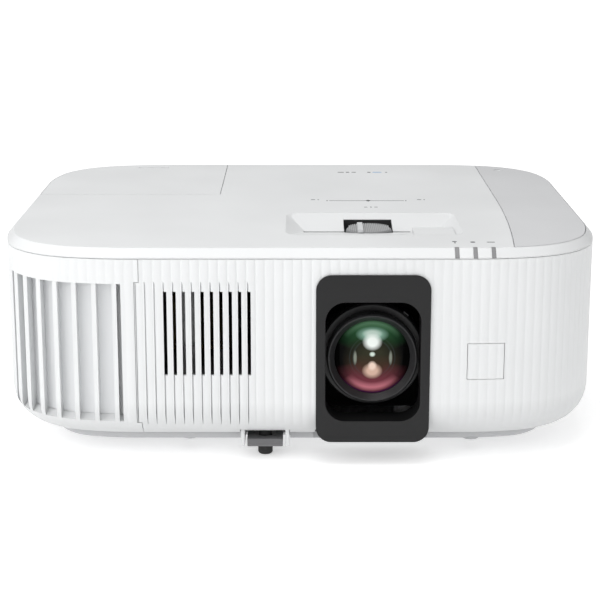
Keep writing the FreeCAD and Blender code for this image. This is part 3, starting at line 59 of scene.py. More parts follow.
def outlineSamples(spacing):
    # points, inward normals and the distance along the outline, from the middle of the front towards +X
    lead = math.radians(case["leadAngle"])
    extent = (case["leadRadius"] * (1 + math.sin(lead) - math.cos(lead))
              + case["cornerRadius"] * (math.cos(lead) - math.sin(lead)))
    runX, runY = case["halfWidth"] - extent, case["halfDepth"] - extent
    steps = [("run", runX)]
    for side in (runY * 2, runX * 2, runY * 2, runX):
        steps += [("turn",) + step for step in cornerSteps()] + [("run", side)]
    x, y, heading, total, pieces = 0.0, -case["halfDepth"], 0.0, 0.0, []
    for step in steps:
        length = step[1] if step[0] == "run" else step[1] * step[2]
        pieces.append((step, x, y, heading, total, length))
        if step[0] == "run":
            x, y = x + length * math.cos(heading), y + length * math.sin(heading)
        else:
            cx, cy = x - step[1] * math.sin(heading), y + step[1] * math.cos(heading)
            heading += step[2]
            x, y = cx + step[1] * math.sin(heading), cy - step[1] * math.cos(heading)
        total += length
    count = int(round(total / spacing))
    found = []
    for k in range(count):
        s = total * k / count
        step, px, py, h, start, length = next(p for p in reversed(pieces) if p[4] <= s + 1e-12)
        d = s - start
        if step[0] == "run":
            ax, ay = px + d * math.cos(h), py + d * math.sin(h)
        else:
            cx, cy = px - step[1] * math.sin(h), py + step[1] * math.cos(h)
            h += d / step[1]
            ax, ay = cx + step[1] * math.sin(h), cy - step[1] * math.cos(h)
        found.append((ax, ay, -math.sin(h), math.cos(h), s, h))
    return found, total


def newObject(name, verts, faces, smoothAngle=None):
    mesh = bpy.data.meshes.new(name)
    mesh.from_pydata([tuple(v) for v in verts], [], faces)
    mesh.update()
    obj = bpy.data.objects.new(name, mesh)
    bpy.context.scene.collection.objects.link(obj)
    if smoothAngle is not None:
        smooth(obj, smoothAngle)
    return obj


def smooth(obj, degrees):
    obj.data.shade_smooth()
    obj.data.set_sharp_from_angle(angle=math.radians(degrees))


def plainMesh(obj):
    # the evaluated object becomes its own mesh, and its modifiers go
    evaluated = obj.evaluated_get(bpy.context.evaluated_depsgraph_get())
    mesh = bpy.data.meshes.new_from_object(evaluated)
    obj.modifiers.clear()
    obj.data = mesh
    return obj


def prism(name, outline, axis, low, high):
    # closed prism: outline in the two other axes, in order X, Y, Z
    order = {"x": (1, 2, 0), "y": (0, 2, 1), "z": (0, 1, 2)}[axis]
    verts = []
    for level in (low, high):
        for a, b in outline:
            p = [0, 0, 0]
            p[order[0]], p[order[1]], p[order[2]] = a, b, level
            verts.append(p)
    n = len(outline)
    faces = [tuple(range(n)), tuple(range(2 * n - 1, n - 1, -1))]
    faces += [(k, k + n, (k + 1) % n + n, (k + 1) % n) for k in range(n)]
    obj = newObject(name, verts, faces)
    fixNormals(obj)
    return obj


def fixNormals(obj):
    bm = bmesh.new()
    bm.from_mesh(obj.data)
    bmesh.ops.recalc_face_normals(bm, faces=bm.faces)
    bm.to_mesh(obj.data)
    bm.free()


def boxCutter(x0, x1, y0, y1, z0, z1):
    return prism("cutter", [(x0, y0), (x1, y0), (x1, y1), (x0, y1)], "z", z0, z1)


def roundOutline(cx, cz, halfW, halfH, radius, steps=6):
    points = []
    for k, (sx, sz) in enumerate(((1, -1), (1, 1), (-1, 1), (-1, -1))):
        for j in range(steps + 1):
            a = math.radians(-90 + 90 * k + 90 * j / steps)
            points.append((cx + sx * (halfW - radius) + radius * math.cos(a),
                           cz + sz * (halfH - radius) + radius * math.sin(a)))
    return points


def circleOutline(cx, cz, radius, steps=40):
    return [(cx + radius * math.cos(2 * math.pi * k / steps), cz + radius * math.sin(2 * math.pi * k / steps))
            for k in range(steps)]


def joined(objs, name):
    bm = bmesh.new()
    for obj in objs:
        bm.from_mesh(obj.data)
    mesh = bpy.data.meshes.new(name)
    bm.to_mesh(mesh)
    bm.free()
    for obj in objs:
        bpy.data.objects.remove(obj)
    result = bpy.data.objects.new(name, mesh)
    bpy.context.scene.collection.objects.link(result)
    return result


def boolean(obj, cutter, operation, selfCrossing=False):
    mod = obj.modifiers.new("cut", "BOOLEAN")
    mod.operation, mod.object, mod.solver = operation, cutter, "EXACT"
    mod.use_self = selfCrossing
    plainMesh(obj)
    bpy.data.objects.remove(cutter)
    return obj


# materials: every one is procedural, on Object coordinates
finishes = {}


class NodeTree:
    def __init__(self, tree):
        self.tree, self.nodes = tree, tree.nodes

    def add(self, kind, **values):
        node = self.nodes.new(kind)
        for key, value in values.items():
            setattr(node, key, value)
        return node

    def link(self, a, b):
        self.tree.links.new(a, b)

    def maths(self, operation, a, b=None):
        node = self.add("ShaderNodeMath", operation=operation)
        for k, value in enumerate(v for v in (a, b) if v is not None):
            if isinstance(value, (int, float)):
                node.inputs[k].default_value = value
            else:
                self.link(value, node.inputs[k])
        return node.outputs[0]

    def ramp(self, value, low, high, fromLow=0.3, fromHigh=0.7):
        node = self.add("ShaderNodeMapRange")
        self.link(value, node.inputs["Value"])
        for key, number in (("From Min", fromLow), ("From Max", fromHigh), ("To Min", low), ("To Max", high)):
            node.inputs[key].default_value = number
        return node.outputs["Result"]

    def parts(self, vector):
        node = self.add("ShaderNodeSeparateXYZ")
        self.link(vector, node.inputs[0])
        return node.outputs


class Finish(NodeTree):
    def __init__(self, name):
        material = bpy.data.materials.new(name)
        material.use_nodes = True
        super().__init__(material.node_tree)
        self.nodes.clear()
        out = self.add("ShaderNodeOutputMaterial")
        self.shader = self.add("ShaderNodeBsdfPrincipled")
        self.link(self.shader.outputs[0], out.inputs[0])
        self.coords = self.add("ShaderNodeTexCoord").outputs["Object"]
        finishes[name] = material

    def into(self, value, key):
        self.link(value, self.shader.inputs[key])

    def constants(self, values):
        for key, value in values.items():
            self.shader.inputs[key].default_value = value

    def noise(self, scale, detail=3.0, rough=0.55):
        node = self.add("ShaderNodeTexNoise")
        for key, value in (("Scale", scale), ("Detail", detail), ("Roughness", rough)):
            node.inputs[key].default_value = value
        self.link(self.coords, node.inputs["Vector"])
        return node.outputs["Fac"]

    def mixColour(self, factor, a, b):
        node = self.add("ShaderNodeMix", data_type="RGBA")
        self.link(factor, node.inputs[0])
        node.inputs[6].default_value, node.inputs[7].default_value = (*a, 1), (*b, 1)
        return node.outputs[2]

    def mixOnto(self, colour, factor, paint):
        node = self.add("ShaderNodeMix", data_type="RGBA")
        self.link(factor, node.inputs[0])
        self.link(colour, node.inputs[6])
        node.inputs[7].default_value = (*paint, 1)
        return node.outputs[2]

    def between(self, value, low, high, soft):
        rise = self.ramp(value, 0, 1, low - soft, low + soft)
        fall = self.ramp(value, 1, 0, high - soft, high + soft)
        return self.maths("MULTIPLY", rise, fall)

    def distance(self, x, y):
        return self.maths("SQRT", self.maths("ADD", self.maths("MULTIPLY", x, x), self.maths("MULTIPLY", y, y)))

    def bump(self, height, distance, strength, edge):
        # fine relief, and an edge softened over the given radius
        node = self.add("ShaderNodeBump")
        node.inputs["Strength"].default_value = strength
        node.inputs["Distance"].default_value = distance
        self.link(height, node.inputs["Height"])
        if edge:
            bevel = self.add("ShaderNodeBevel", samples=4)
            bevel.inputs["Radius"].default_value = edge
            self.link(bevel.outputs[0], node.inputs["Normal"])
        self.into(node.outputs[0], "Normal")


def moulded(name, colour, rough=0.42, grain=2600.0, grainDepth=0.00002, edge=0.0, vary=0.04, coat=0.0, metal=0.0,
            specular=0.5, low=None):
    # moulded plastic or metal: fine grain in the bump, slow changes of colour and roughness, and, where low is given,
    # painted shade on the lower edge
    t = Finish(name)
    slow, fine = t.noise(14.0, 2.0), t.noise(grain, 2.0, 0.6)
    paint = t.mixColour(t.ramp(slow, 0, 1), tuple(c * (1 - vary) for c in colour), colour)
    if low:
        # painted shade: the colour of the rounded lower edge is darkened by a share low[2], from height low[0] to
        # low[1], standing in for the shade near the floor
        paintedShade = t.ramp(t.parts(t.coords)["Z"], 1, 0, low[0], low[1])
        paint = t.mixOnto(paint, paintedShade, tuple(c * low[2] for c in colour))
    t.into(paint, "Base Color")
    t.into(t.maths("ADD", t.ramp(fine, -0.03, 0.03), t.ramp(slow, rough - 0.03, rough + 0.04)), "Roughness")
    t.bump(fine, grainDepth, 0.6, edge)
    t.constants({"Metallic": metal, "Specular IOR Level": specular, "IOR": 1.5})
    if coat:
        t.constants({"Coat Weight": coat, "Coat Roughness": 0.12})


white = (0.74, 0.75, 0.755)
moulded("caseWhite", white, 0.40, edge=0.0007)
# the wall's white, with painted shade darkening its rounded lower edge
moulded("wallWhite", white, 0.42, edge=0.0, low=(0.019, 0.036, 0.74))
# painted shade: the lamp cover is the case's white darkened, standing in for the light falling off away from the key
# light
moulded("coverWhite", (0.62, 0.625, 0.635), 0.40, edge=0.0005)
# painted shade: the plinth is a darkened copy of the case's white, standing in for the shade low down under the case
moulded("plinthWhite", (0.50, 0.505, 0.515), 0.45)
moulded("baffleGrey", (0.74, 0.75, 0.76), 0.5)
moulded("panelGrey", (0.22, 0.225, 0.23), 0.5)
moulded("bezelBlack", (0.009, 0.009, 0.0095), 0.36, grainDepth=0.000008, edge=0.0006, specular=0.3)
moulded("barrelBlack", (0.004, 0.004, 0.004), 0.8, specular=0.1)
moulded("ringBlack", (0.014, 0.014, 0.015), 0.36, edge=0.0003, specular=0.4)
moulded("softBlack", (0.018, 0.018, 0.018), 0.7, 900.0, 0.00005)
moulded("leverDark", (0.13, 0.13, 0.135), 0.45, edge=0.0004)
moulded("footStud", (0.03, 0.03, 0.032), 0.5)
moulded("buttonGrey", (0.42, 0.43, 0.44), 0.4, edge=0.0003)
moulded("dialGrey", (0.26, 0.265, 0.27), 0.42, edge=0.0002)
moulded("dialRidge", (0.42, 0.425, 0.43), 0.4)
moulded("printDark", (0.16, 0.165, 0.17), 0.6)
moulded("printBlue", (0.35, 0.47, 0.62), 0.6)
moulded("pointerGrey", (0.62, 0.63, 0.64), 0.4, edge=0.0003)
moulded("lightPipe", (0.24, 0.24, 0.245), 0.3, edge=0.0002)
moulded("castMetal", (0.32, 0.32, 0.33), 0.48, 700.0, 0.00004, metal=1.0)
moulded("steel", (0.55, 0.55, 0.56), 0.3, 1500.0, metal=1.0)
moulded("brass", (0.72, 0.53, 0.22), 0.3, 1500.0, metal=1.0)
moulded("boardGreen", (0.02, 0.12, 0.05), 0.35, 300.0)
moulded("boardTan", (0.22, 0.16, 0.06), 0.5, 300.0)
moulded("foamDark", (0.05, 0.05, 0.053), 0.95, 700.0, 0.0006)
moulded("darkWindow", (0.012, 0.004, 0.005), 0.1, grainDepth=0.000002, coat=0.5)
moulded("panelBlack", (0.015, 0.015, 0.016), 0.6)
moulded("mirrorCoat", (0.75, 0.8, 0.86), 0.06, metal=1.0)


def glass(name, tint, rough=0.02):
    t = Finish(name)
    t.into(t.mixColour(t.ramp(t.noise(60.0, 1.0), 0, 1), tuple(c * 0.97 for c in tint), tint), "Base Color")
    t.into(t.ramp(t.noise(900.0), rough, rough + 0.02), "Roughness")
    t.constants({"Transmission Weight": 1.0, "IOR": 1.5})


glass("clearGlass", (0.92, 0.95, 0.97))
glass("quartz", (0.95, 0.95, 0.95))

# the lens face's painted reflections and highlights, in shares of its radius. Arcs: inner and outer edge, softness,
# where upwards the arc starts and is full, colour. Rings: inner and outer edge. Glints: place, half size, colour.
lensPaintedReflections = {
    "centre": (0.0393, 0.0588), "radius": 0.0222,
    "arcs": [(0.55, 0.93, 0.12, 0.35, 0.98, (0.025, 0.085, 0.035)),
             (0.80, 0.90, 0.05, 0.6, 0.98, (0.09, 0.2, 0.11)),
             (0.45, 0.86, 0.14, -0.25, -1.0, (0.16, 0.035, 0.05)),
             (0.70, 0.86, 0.07, -0.62, -0.97, (0.52, 0.17, 0.21)),
             (0.91, 0.96, 0.02, -0.5, -0.95, (0.12, 0.025, 0.12))],
    "rings": [(0.46, 0.485), (0.545, 0.565), (0.96, 0.985)], "ringColour": (0.03, 0.035, 0.033),
    "rim": (0.002, 0.002, 0.002), "middle": (0.03, 0.03, 0.018), "lower": (0.055, 0.028, 0.018),
    "glints": [((0.0, 0.58), (0.42, 0.2), (0.24, 0.42, 0.33)), ((0.0, 0.60), (0.26, 0.12), (0.5, 0.62, 0.55)),
               ((0.0, 0.40), (0.25, 0.22), (0.85, 0.9, 0.86)), ((0.0, 0.1), (0.08, 0.07), (0.6, 0.7, 0.62)),
               ((0.0, -0.33), (0.26, 0.22), (0.62, 0.42, 0.33)), ((0.0, -0.2), (0.12, 0.14), (0.8, 0.62, 0.52)),
               ((0.45, 0.0), (0.05, 0.2), (0.22, 0.24, 0.2)), ((-0.42, 0.0), (0.05, 0.2), (0.22, 0.24, 0.2))],
}


def coatedGlass():
    # dark lens glass with painted reflections: the green coating sheen above, the magenta below and the bright glints
    # inside it are painted into the colour
    t = Finish("coatedGlass")
    place = t.parts(t.coords)
    cx, cz, radius = *lensPaintedReflections["centre"], lensPaintedReflections["radius"]
    x = t.ramp(place["X"], -1, 1, cx - radius, cx + radius)
    z = t.ramp(place["Z"], -1, 1, cz - radius, cz + radius)
    far = t.distance(x, z)
    up = t.maths("DIVIDE", z, far)
    # painted reflection: near-black rim, olive middle and a warm glow low down
    colour = t.mixColour(t.between(far, -1.0, 0.5, 0.25), lensPaintedReflections["rim"], lensPaintedReflections["middle"])
    lower = t.maths("MULTIPLY", t.between(far, -1.0, 0.55, 0.2), t.ramp(z, 0, 1, 0.1, -0.25))
    colour = t.mixOnto(colour, lower, lensPaintedReflections["lower"])
    # painted light: faint rings of reflected light, then the coating's green and magenta sheen as arcs
    for low, high in lensPaintedReflections["rings"]:
        colour = t.mixOnto(colour, t.between(far, low, high, 0.012), lensPaintedReflections["ringColour"])
    for low, high, soft, start, full, paint in lensPaintedReflections["arcs"]:
        share = t.maths("MULTIPLY", t.between(far, low, high, soft), t.ramp(up, 0, 1, start, full))
        colour = t.mixOnto(colour, share, paint)
    # painted highlights: the glints of the studio lights
    for (gx, gz), (rx, rz), paint in lensPaintedReflections["glints"]:
        near = t.distance(t.maths("DIVIDE", t.maths("SUBTRACT", x, gx), rx),
                          t.maths("DIVIDE", t.maths("SUBTRACT", z, gz), rz))
        colour = t.mixOnto(colour, t.ramp(near, 1, 0, 0.45, 1.0), paint)
    t.into(colour, "Base Color")
    t.into(t.ramp(t.noise(400.0), 0.03, 0.06), "Roughness")
    t.constants({"IOR": 1.5, "Specular IOR Level": 0.03})


coatedGlass()

nodeFinish = {
    "caseWhite": "upper_case stick_cover foot_housing front_ir_window stick_bay lamp_cover_screw",
    "coverWhite": "lamp_cover", "plinthWhite": "lower_case",
    "baffleGrey": "exhaust_baffle", "panelGrey": "rear_panel", "bezelBlack": "lens_bezel",
    "barrelBlack": "lens_barrel lens_carriage", "ringBlack": "focus_ring zoom_ring",
    "softBlack": "front_foot rear_sole_left rear_sole_right", "leverDark": "foot_lever",
    "footStud": "rear_foot_left rear_foot_right",
    "buttonGrey": "power_button menu_button back_button arrow_ring enter_button", "dialGrey": "shift_dial",
    "pointerGrey": "dial_pointer", "lightPipe": "indicator_lights", "castMetal": "engine_base lamp_housing",
    "steel": "shift_frame guide_rods case_screws signal_sockets", "brass": "shift_screw ceiling_inserts",
    "boardGreen": "main_board button_board", "boardTan": "power_board ballast_board", "foamDark": "air_filter",
    "darkWindow": "rear_ir_window", "mirrorCoat": "lamp_reflector", "coatedGlass": "front_glass",
    "clearGlass": "rear_glass prism relay_optics", "quartz": "lamp_burner",
    "panelBlack": "engine_cover lcd_panels power_inlet exhaust_fan_frame exhaust_fan_rotor blower_case "
                  "blower_wheel speaker",
}
for finish, names in nodeFinish.items():
    for node in names.split():
        for slotIndex in range(max(1, len(nodes[node].material_slots))):
            if nodes[node].material_slots:
                nodes[node].material_slots[slotIndex].material = finishes[finish]
            else:
                nodes[node].data.materials.append(finishes[finish])
print("materials made:", len(finishes))


class Repeat(NodeTree):
    # a Geometry Nodes group with named number inputs and a finish
    def __init__(self, name, numbers):
        super().__init__(bpy.data.node_groups.new(name, "GeometryNodeTree"))
        self.numbers = numbers
        face = self.tree.interface
        for way in ("INPUT", "OUTPUT"):
            face.new_socket("Geometry", in_out=way, socket_type="NodeSocketGeometry")
        kinds = {**dict.fromkeys(numbers, "NodeSocketFloat"), "Finish": "NodeSocketMaterial"}
        self.sockets = {key: face.new_socket(key, in_out="INPUT", socket_type=kind).identifier
                        for key, kind in kinds.items()}
        self.inputs = self.add("NodeGroupInput").outputs

    def attribute(self, name, kind):
        node = self.add("GeometryNodeInputNamedAttribute", data_type=kind)
        node.inputs["Name"].default_value = name
        return node.outputs["Attribute"]

    def vector(self, x, y, z):
        node = self.add("ShaderNodeCombineXYZ")
        for k, value in enumerate((x, y, z)):
            if isinstance(value, float):
                node.inputs[k].default_value = value
            else:
                self.link(value, node.inputs[k])
        return node.outputs[0]

    def close(self, geometry):
        real, paint = self.add("GeometryNodeRealizeInstances"), self.add("GeometryNodeSetMaterial")
        self.link(geometry, real.inputs[0])
        self.link(real.outputs[0], paint.inputs["Geometry"])
        self.link(self.inputs["Finish"], paint.inputs["Material"])
        self.link(paint.outputs[0], self.add("NodeGroupOutput").inputs[0])

    def applyTo(self, obj, finish):
        mod = obj.modifiers.new("repeat", "NODES")
        mod.node_group = self.tree
        for key, value in self.numbers.items():
            mod[self.sockets[key]] = value
        mod[self.sockets["Finish"]] = finishes[finish]
        return plainMesh(obj)


def setAttribute(obj, name, kind, values):
    field = "vector" if kind == "FLOAT_VECTOR" else "value"
    obj.data.attributes.new(name, kind, "POINT").data.foreach_set(field, np.array(values).ravel())


# the ribbed wall
ribs = {"pitch": 0.005, "phase": 0.0013, "depth": 0.0005, "columnsPerRib": 8, "filletRows": 9, "fade": 0.62,
        "middleZ": 0.075, "profile": ((0, 1.0), (0.1, 0.35), (0.3, 0.05), (0.6, 0.0), (0.85, 0.22), (1, 0.75))}


def ribTree():
    # pushes the wall in by a slanted rib profile
    t = Repeat("ribTree", {"Pitch": ribs["pitch"], "Phase": ribs["phase"], "Depth": ribs["depth"]})
    start = t.maths("SUBTRACT", t.attribute("along", "FLOAT"), t.inputs["Phase"])
    curve = t.add("ShaderNodeFloatCurve")
    points = curve.mapping.curves[0].points
    points[0].location, points[1].location = ribs["profile"][0], ribs["profile"][-1]
    for x, y in ribs["profile"][1:-1]:
        points.new(x, y)
    curve.mapping.update()
    t.link(t.maths("FRACT", t.maths("DIVIDE", start, t.inputs["Pitch"])), curve.inputs["Value"])
    depth = t.maths("MULTIPLY", t.maths("MULTIPLY", curve.outputs[0], t.attribute("ribShare", "FLOAT")),
                    t.inputs["Depth"])
    scale = t.add("ShaderNodeVectorMath", operation="SCALE")
    t.link(t.attribute("inward", "FLOAT_VECTOR"), scale.inputs[0])
    t.link(depth, scale.inputs["Scale"])
    move = t.add("GeometryNodeSetPosition")
    t.link(t.inputs["Geometry"], move.inputs["Geometry"])
    t.link(scale.outputs[0], move.inputs["Offset"])
    t.close(move.outputs[0])
    return t


def wallRows():
    # height, inset and share of the rib depth, from the lid's seam down the outside and up the inside
    top, skirt, radius, wall = case["seamZ"], case["skirtTop"], case["skirtRadius"], case["wall"]
    count, innerRadius = ribs["filletRows"], case["skirtRadius"] - case["wall"]
    rows = [(top, 0.0, 1.0), (ribs["middleZ"], 0.0, 1.0), (skirt, 0.0, 1.0)]
    for k in range(1, count + 1):
        a = math.pi / 2 * k / count
        share = max(0.0, 1 - k / (count * ribs["fade"]))
        rows.append((skirt - radius * math.sin(a), radius * (1 - math.cos(a)), share))
    rows += [(case["floorZ"], case["floorInset"], 0.0), (case["floorZ"] + wall, case["floorInset"], 0.0)]
    for k in range(count // 2, -1, -1):
        a = math.pi / 2 * k / (count // 2)
        rows.append((skirt - innerRadius * math.sin(a), wall + innerRadius * (1 - math.cos(a)), 0.0))
    return rows + [(top, wall, 0.0)]


def ribbedRing(name):
    samples, total = outlineSamples(ribs["pitch"] / ribs["columnsPerRib"])
    rows = wallRows()
    count = len(samples)
    ribCount = round(total / ribs["pitch"])
    verts, along, share, inward = [], [], [], []
    for z, inset, ribShare in rows:
        for x, y, nx, ny, s, _ in samples:
            verts.append((x + nx * inset, y + ny * inset, z))
            along.append(s * ribCount * ribs["pitch"] / total)
            share.append(ribShare)
            inward.append((nx, ny, 0.0))
    faces = []
    for r in range(len(rows)):
        below = (r + 1) % len(rows)
        for k in range(count):
            nxt = (k + 1) % count
            faces.append((r * count + k, below * count + k, below * count + nxt, r * count + nxt))
    obj = newObject(name, verts, faces)
    fixNormals(obj)
    setAttribute(obj, "along", "FLOAT", along)
    setAttribute(obj, "ribShare", "FLOAT", share)
    setAttribute(obj, "inward", "FLOAT_VECTOR", inward)
    return ribTree().applyTo(obj, "wallWhite")


# the corner grille: bounds is a box well past the case, jogEndY the end of the seam's step
grille = {"seamX": -0.0863, "endY": -0.034, "jog": 0.0025, "jogEndY": -0.09, "jogSpare": 0.001, "bottom": 0.0245,
          "top": 0.102, "windowX": -0.0959, "windowEndY": -0.042, "first": 0.0994, "pitch": 0.0112, "thick": 0.0024,
          "deep": 0.0065, "ledge": 0.0027, "setIn": 0.0004, "bladeSpare": 0.003, "bladeEnd": 0.012, "leanFrom": 20,
          "leanShare": 0.5, "leanLimit": 0.35, "railSpare": 0.002, "bounds": ((-0.3, -0.2, -0.01), 0.2)}
fitGap = 0.0003


def grilleZone(spare):
    # the wall's left front corner, with a jog beside the louvres
    seam, end = grille["seamX"] + spare, grille["seamX"] + spare - grille["jog"]
    low = grille["bottom"] - grille["jogSpare"] + spare
    high = grille["top"] + grille["jogSpare"] - spare
    (left, front, floor), sky = grille["bounds"]
    whole = boxCutter(left, end, front, grille["endY"] + spare, floor, sky)
    for z0, z1 in ((floor, low), (high, sky)):
        boolean(whole, boxCutter(end, seam, front, grille["jogEndY"], z0, z1), "UNION")
    return whole


slots = {"count": 10, "first": -0.0273, "pitch": 0.005, "width": 0.0019, "bottom": 0.0512, "top": 0.0978,
         "grooves": 13, "grooveWidth": 0.0014, "grooveDepth": 0.0013, "grooveBottom": 0.0225, "grooveTop": 0.1043,
         "grooveProud": 0.0006, "grooveShift": 0.0006}
speakerSlots = {"count": 9, "middle": 0.055, "pitch": 0.005, "width": 0.0019, "bottom": 0.042, "top": 0.082}


def grooveCutter(x):
    # a V along the wall that follows the rounded lower edge and runs out at both ends
    half, depth, proud = slots["grooveWidth"] / 2, slots["grooveDepth"], slots["grooveProud"]
    face = -case["halfDepth"] - proud
    profile = [(slots["grooveBottom"], 0.0045), (slots["grooveBottom"] + 0.004, 0.0033),
               (case["skirtTop"], proud + depth), (slots["grooveTop"] - 0.003, proud + depth),
               (slots["grooveTop"], 0.0)]
    verts, faces = [], []
    for z, d in profile:
        verts += [(x - half, face, z), (x + half, face, z), (x, face + max(d, 0.0001), z)]
    for r in range(len(profile) - 1):
        for k in range(3):
            faces.append((3 * r + k, 3 * r + 3 + k, 3 * r + 3 + (k + 1) % 3, 3 * r + (k + 1) % 3))
    last = 3 * (len(profile) - 1)
    faces += [(0, 1, 2), (last, last + 1, last + 2)]
    obj = newObject("groove", verts, faces)
    fixNormals(obj)
    return obj


# openings through the wall; the first six give how far each cutter reaches through it
wallCuts = {"front": (-0.15, -0.13), "deepFront": (-0.15, -0.11), "bezel": (-0.15, -0.10), "back": (0.129, 0.15),
            "right": (0.155, 0.18), "left": (-0.18, -0.16), "bezelInset": (0.002, 0.003), "bezelRaise": 0.001,
            "bezelRadius": 0.0065, "bezelFoot": 0.0045, "housingTop": 0.018,
            "socketPanel": ((-0.088, 0.052), (0.034, 0.098)), "rearWindow": (0, 0.1083, 0.0078, 0.0043, 0.0042),
            "buttons": {"power_button": 0.0048, "menu_button": 0.0039, "back_button": 0.0039, "arrow_ring": 0.0128}}


def around(node, *spans):
    # cutter over a node's box and the gap round it, or over the span given for an axis
    low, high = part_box(node)
    given = [span or (low[k] - fitGap, high[k] + fitGap) for k, span in enumerate(spans)]
    return boxCutter(*given[0], *given[1], *given[2])


def middle(node):
    low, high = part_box(node)
    return (low[0] + high[0]) / 2, (low[2] + high[2]) / 2


def wallCutters():
    front, back = wallCuts["front"], wallCuts["back"]
    low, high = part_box("lens_bezel")
    (x, z), (insetX, insetZ) = middle("lens_bezel"), wallCuts["bezelInset"]
    hole = roundOutline(x, z + wallCuts["bezelRaise"], (high[0] - low[0]) / 2 - insetX,
                        (high[2] - low[2]) / 2 - insetZ, wallCuts["bezelRadius"])
    cutters = [prism("cutter", hole, "y", *wallCuts["bezel"]),
               around("lens_bezel", None, wallCuts["deepFront"], (0.0, low[2] + wallCuts["bezelFoot"])),
               around("front_ir_window", None, front, None),
               around("filter_cover", wallCuts["right"], None, None),
               around("foot_housing", None, (front[0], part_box("foot_housing")[1][1] + fitGap),
                      (0.0, wallCuts["housingTop"]))]
    (x0, x1), (z0, z1) = wallCuts["socketPanel"]
    cutters.append(boxCutter(x0, x1, *back, z0, z1))
    cutters.append(prism("cutter", roundOutline(*wallCuts["rearWindow"]), "y", *back))
    for name, radius in wallCuts["buttons"].items():
        cutters.append(prism("cutter", circleOutline(*middle(name), radius), "y", *back))
    half = slots["width"] / 2
    for k in range(slots["count"]):
        x = slots["first"] - k * slots["pitch"]
        cutters.append(boxCutter(x - half, x + half, *front, slots["bottom"], slots["top"]))
    half = speakerSlots["width"] / 2
    for k in range(speakerSlots["count"]):
        y = speakerSlots["middle"] + (k - (speakerSlots["count"] - 1) / 2) * speakerSlots["pitch"]
        cutters.append(boxCutter(*wallCuts["left"], y - half, y + half, speakerSlots["bottom"], speakerSlots["top"]))
    return joined(cutters, "wallCutters")


def dress(obj, finish, body, stands, angle=30):
    smooth(obj, angle)
    obj.data.materials.clear()
    obj.data.materials.append(finishes[finish])
    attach(obj, body)
    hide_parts(*stands)


def copied(obj, name):
    twin = newObject(name, [], [])
    twin.data = obj.data.copy()
    return twin


wholeRing = ribbedRing("ribbedWall")
grilleRing, filterPanel, irPane = (copied(wholeRing, name) for name in ("louvreGrille", "filterPanel", "irPane"))
print("ribbed ring made:", len(wholeRing.data.polygons), "faces")

boolean(wholeRing, grilleZone(fitGap), "DIFFERENCE")
grooves = [grooveCutter(slots["first"] - slots["grooveShift"] - k * slots["pitch"]) for k in range(slots["grooves"])]
boolean(wholeRing, joined(grooves, "grooveCutters"), "DIFFERENCE")
boolean(wholeRing, wallCutters(), "DIFFERENCE", True)
dress(wholeRing, "wallWhite", "projector_case", ["side_wall"])
print("wall cut:", len(wholeRing.data.polygons), "faces")

# the filter cover: edges are the first slot's sides from the cover's end, grip the dent above the slots
filterLook = {"skinX": 0.1635, "innerX": 0.15, "outerX": 0.18, "edges": (0.0087, 0.0106), "pitch": 0.005, "count": 15,
              "margin": 0.008, "gripX": 0.1653, "gripY": (-0.023, -0.007), "gripBelow": (0.0045, 0.002)}
low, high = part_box("filter_cover")
outer, (edge0, edge1) = filterLook["outerX"], filterLook["edges"]
boolean(filterPanel, boxCutter(filterLook["skinX"], outer, low[1], high[1], low[2], high[2]), "INTERSECT")
filterSlots = [boxCutter(filterLook["innerX"], outer, low[1] + edge0 + k * filterLook["pitch"],
                         low[1] + edge1 + k * filterLook["pitch"], low[2] + filterLook["margin"],
                         high[2] - filterLook["margin"]) for k in range(filterLook["count"])]
filterSlots.append(boxCutter(filterLook["gripX"], outer, *filterLook["gripY"],
                             *(high[2] - below for below in filterLook["gripBelow"])))
boolean(filterPanel, joined(filterSlots, "filterCutters"), "DIFFERENCE")
dress(filterPanel, "wallWhite", "filter_drawer", ["filter_cover"])

low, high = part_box("front_ir_window")
boolean(irPane, boxCutter(low[0], high[0], *wallCuts["front"], low[2], high[2]), "INTERSECT")
dress(irPane, "wallWhite", "projector_case", ["front_ir_window"])

# the exhaust grille and its louvres
boolean(grilleRing, grilleZone(0.0), "INTERSECT")
(left, front, _), _ = grille["bounds"]
boolean(grilleRing, boxCutter(left, grille["windowX"], front, grille["windowEndY"], grille["bottom"], grille["top"]),
        "DIFFERENCE")


def shelf(section):
    # ledge behind the wall that the blades stand on; the section is a list of height and inset
    samples, _ = outlineSamples(grille["railSpare"])
    samples = [p for p in samples if p[0] < grille["windowX"] + grille["railSpare"]
               and p[1] < grille["windowEndY"] + grille["railSpare"]]
    verts, faces = [], []
    for z, inset in section:
        verts += [(x + nx * inset, y + ny * inset, z) for x, y, nx, ny, _, _ in samples]
    n = len(samples)
    for r in range(len(section)):
        nxt = (r + 1) % len(section)
        faces += [(r * n + k, r * n + k + 1, nxt * n + k + 1, nxt * n + k) for k in range(n - 1)]
    faces += [tuple(r * n for r in range(len(section))),
              tuple(r * n + n - 1 for r in reversed(range(len(section))))]
    obj = newObject("shelf", verts, faces)
    fixNormals(obj)
    return obj


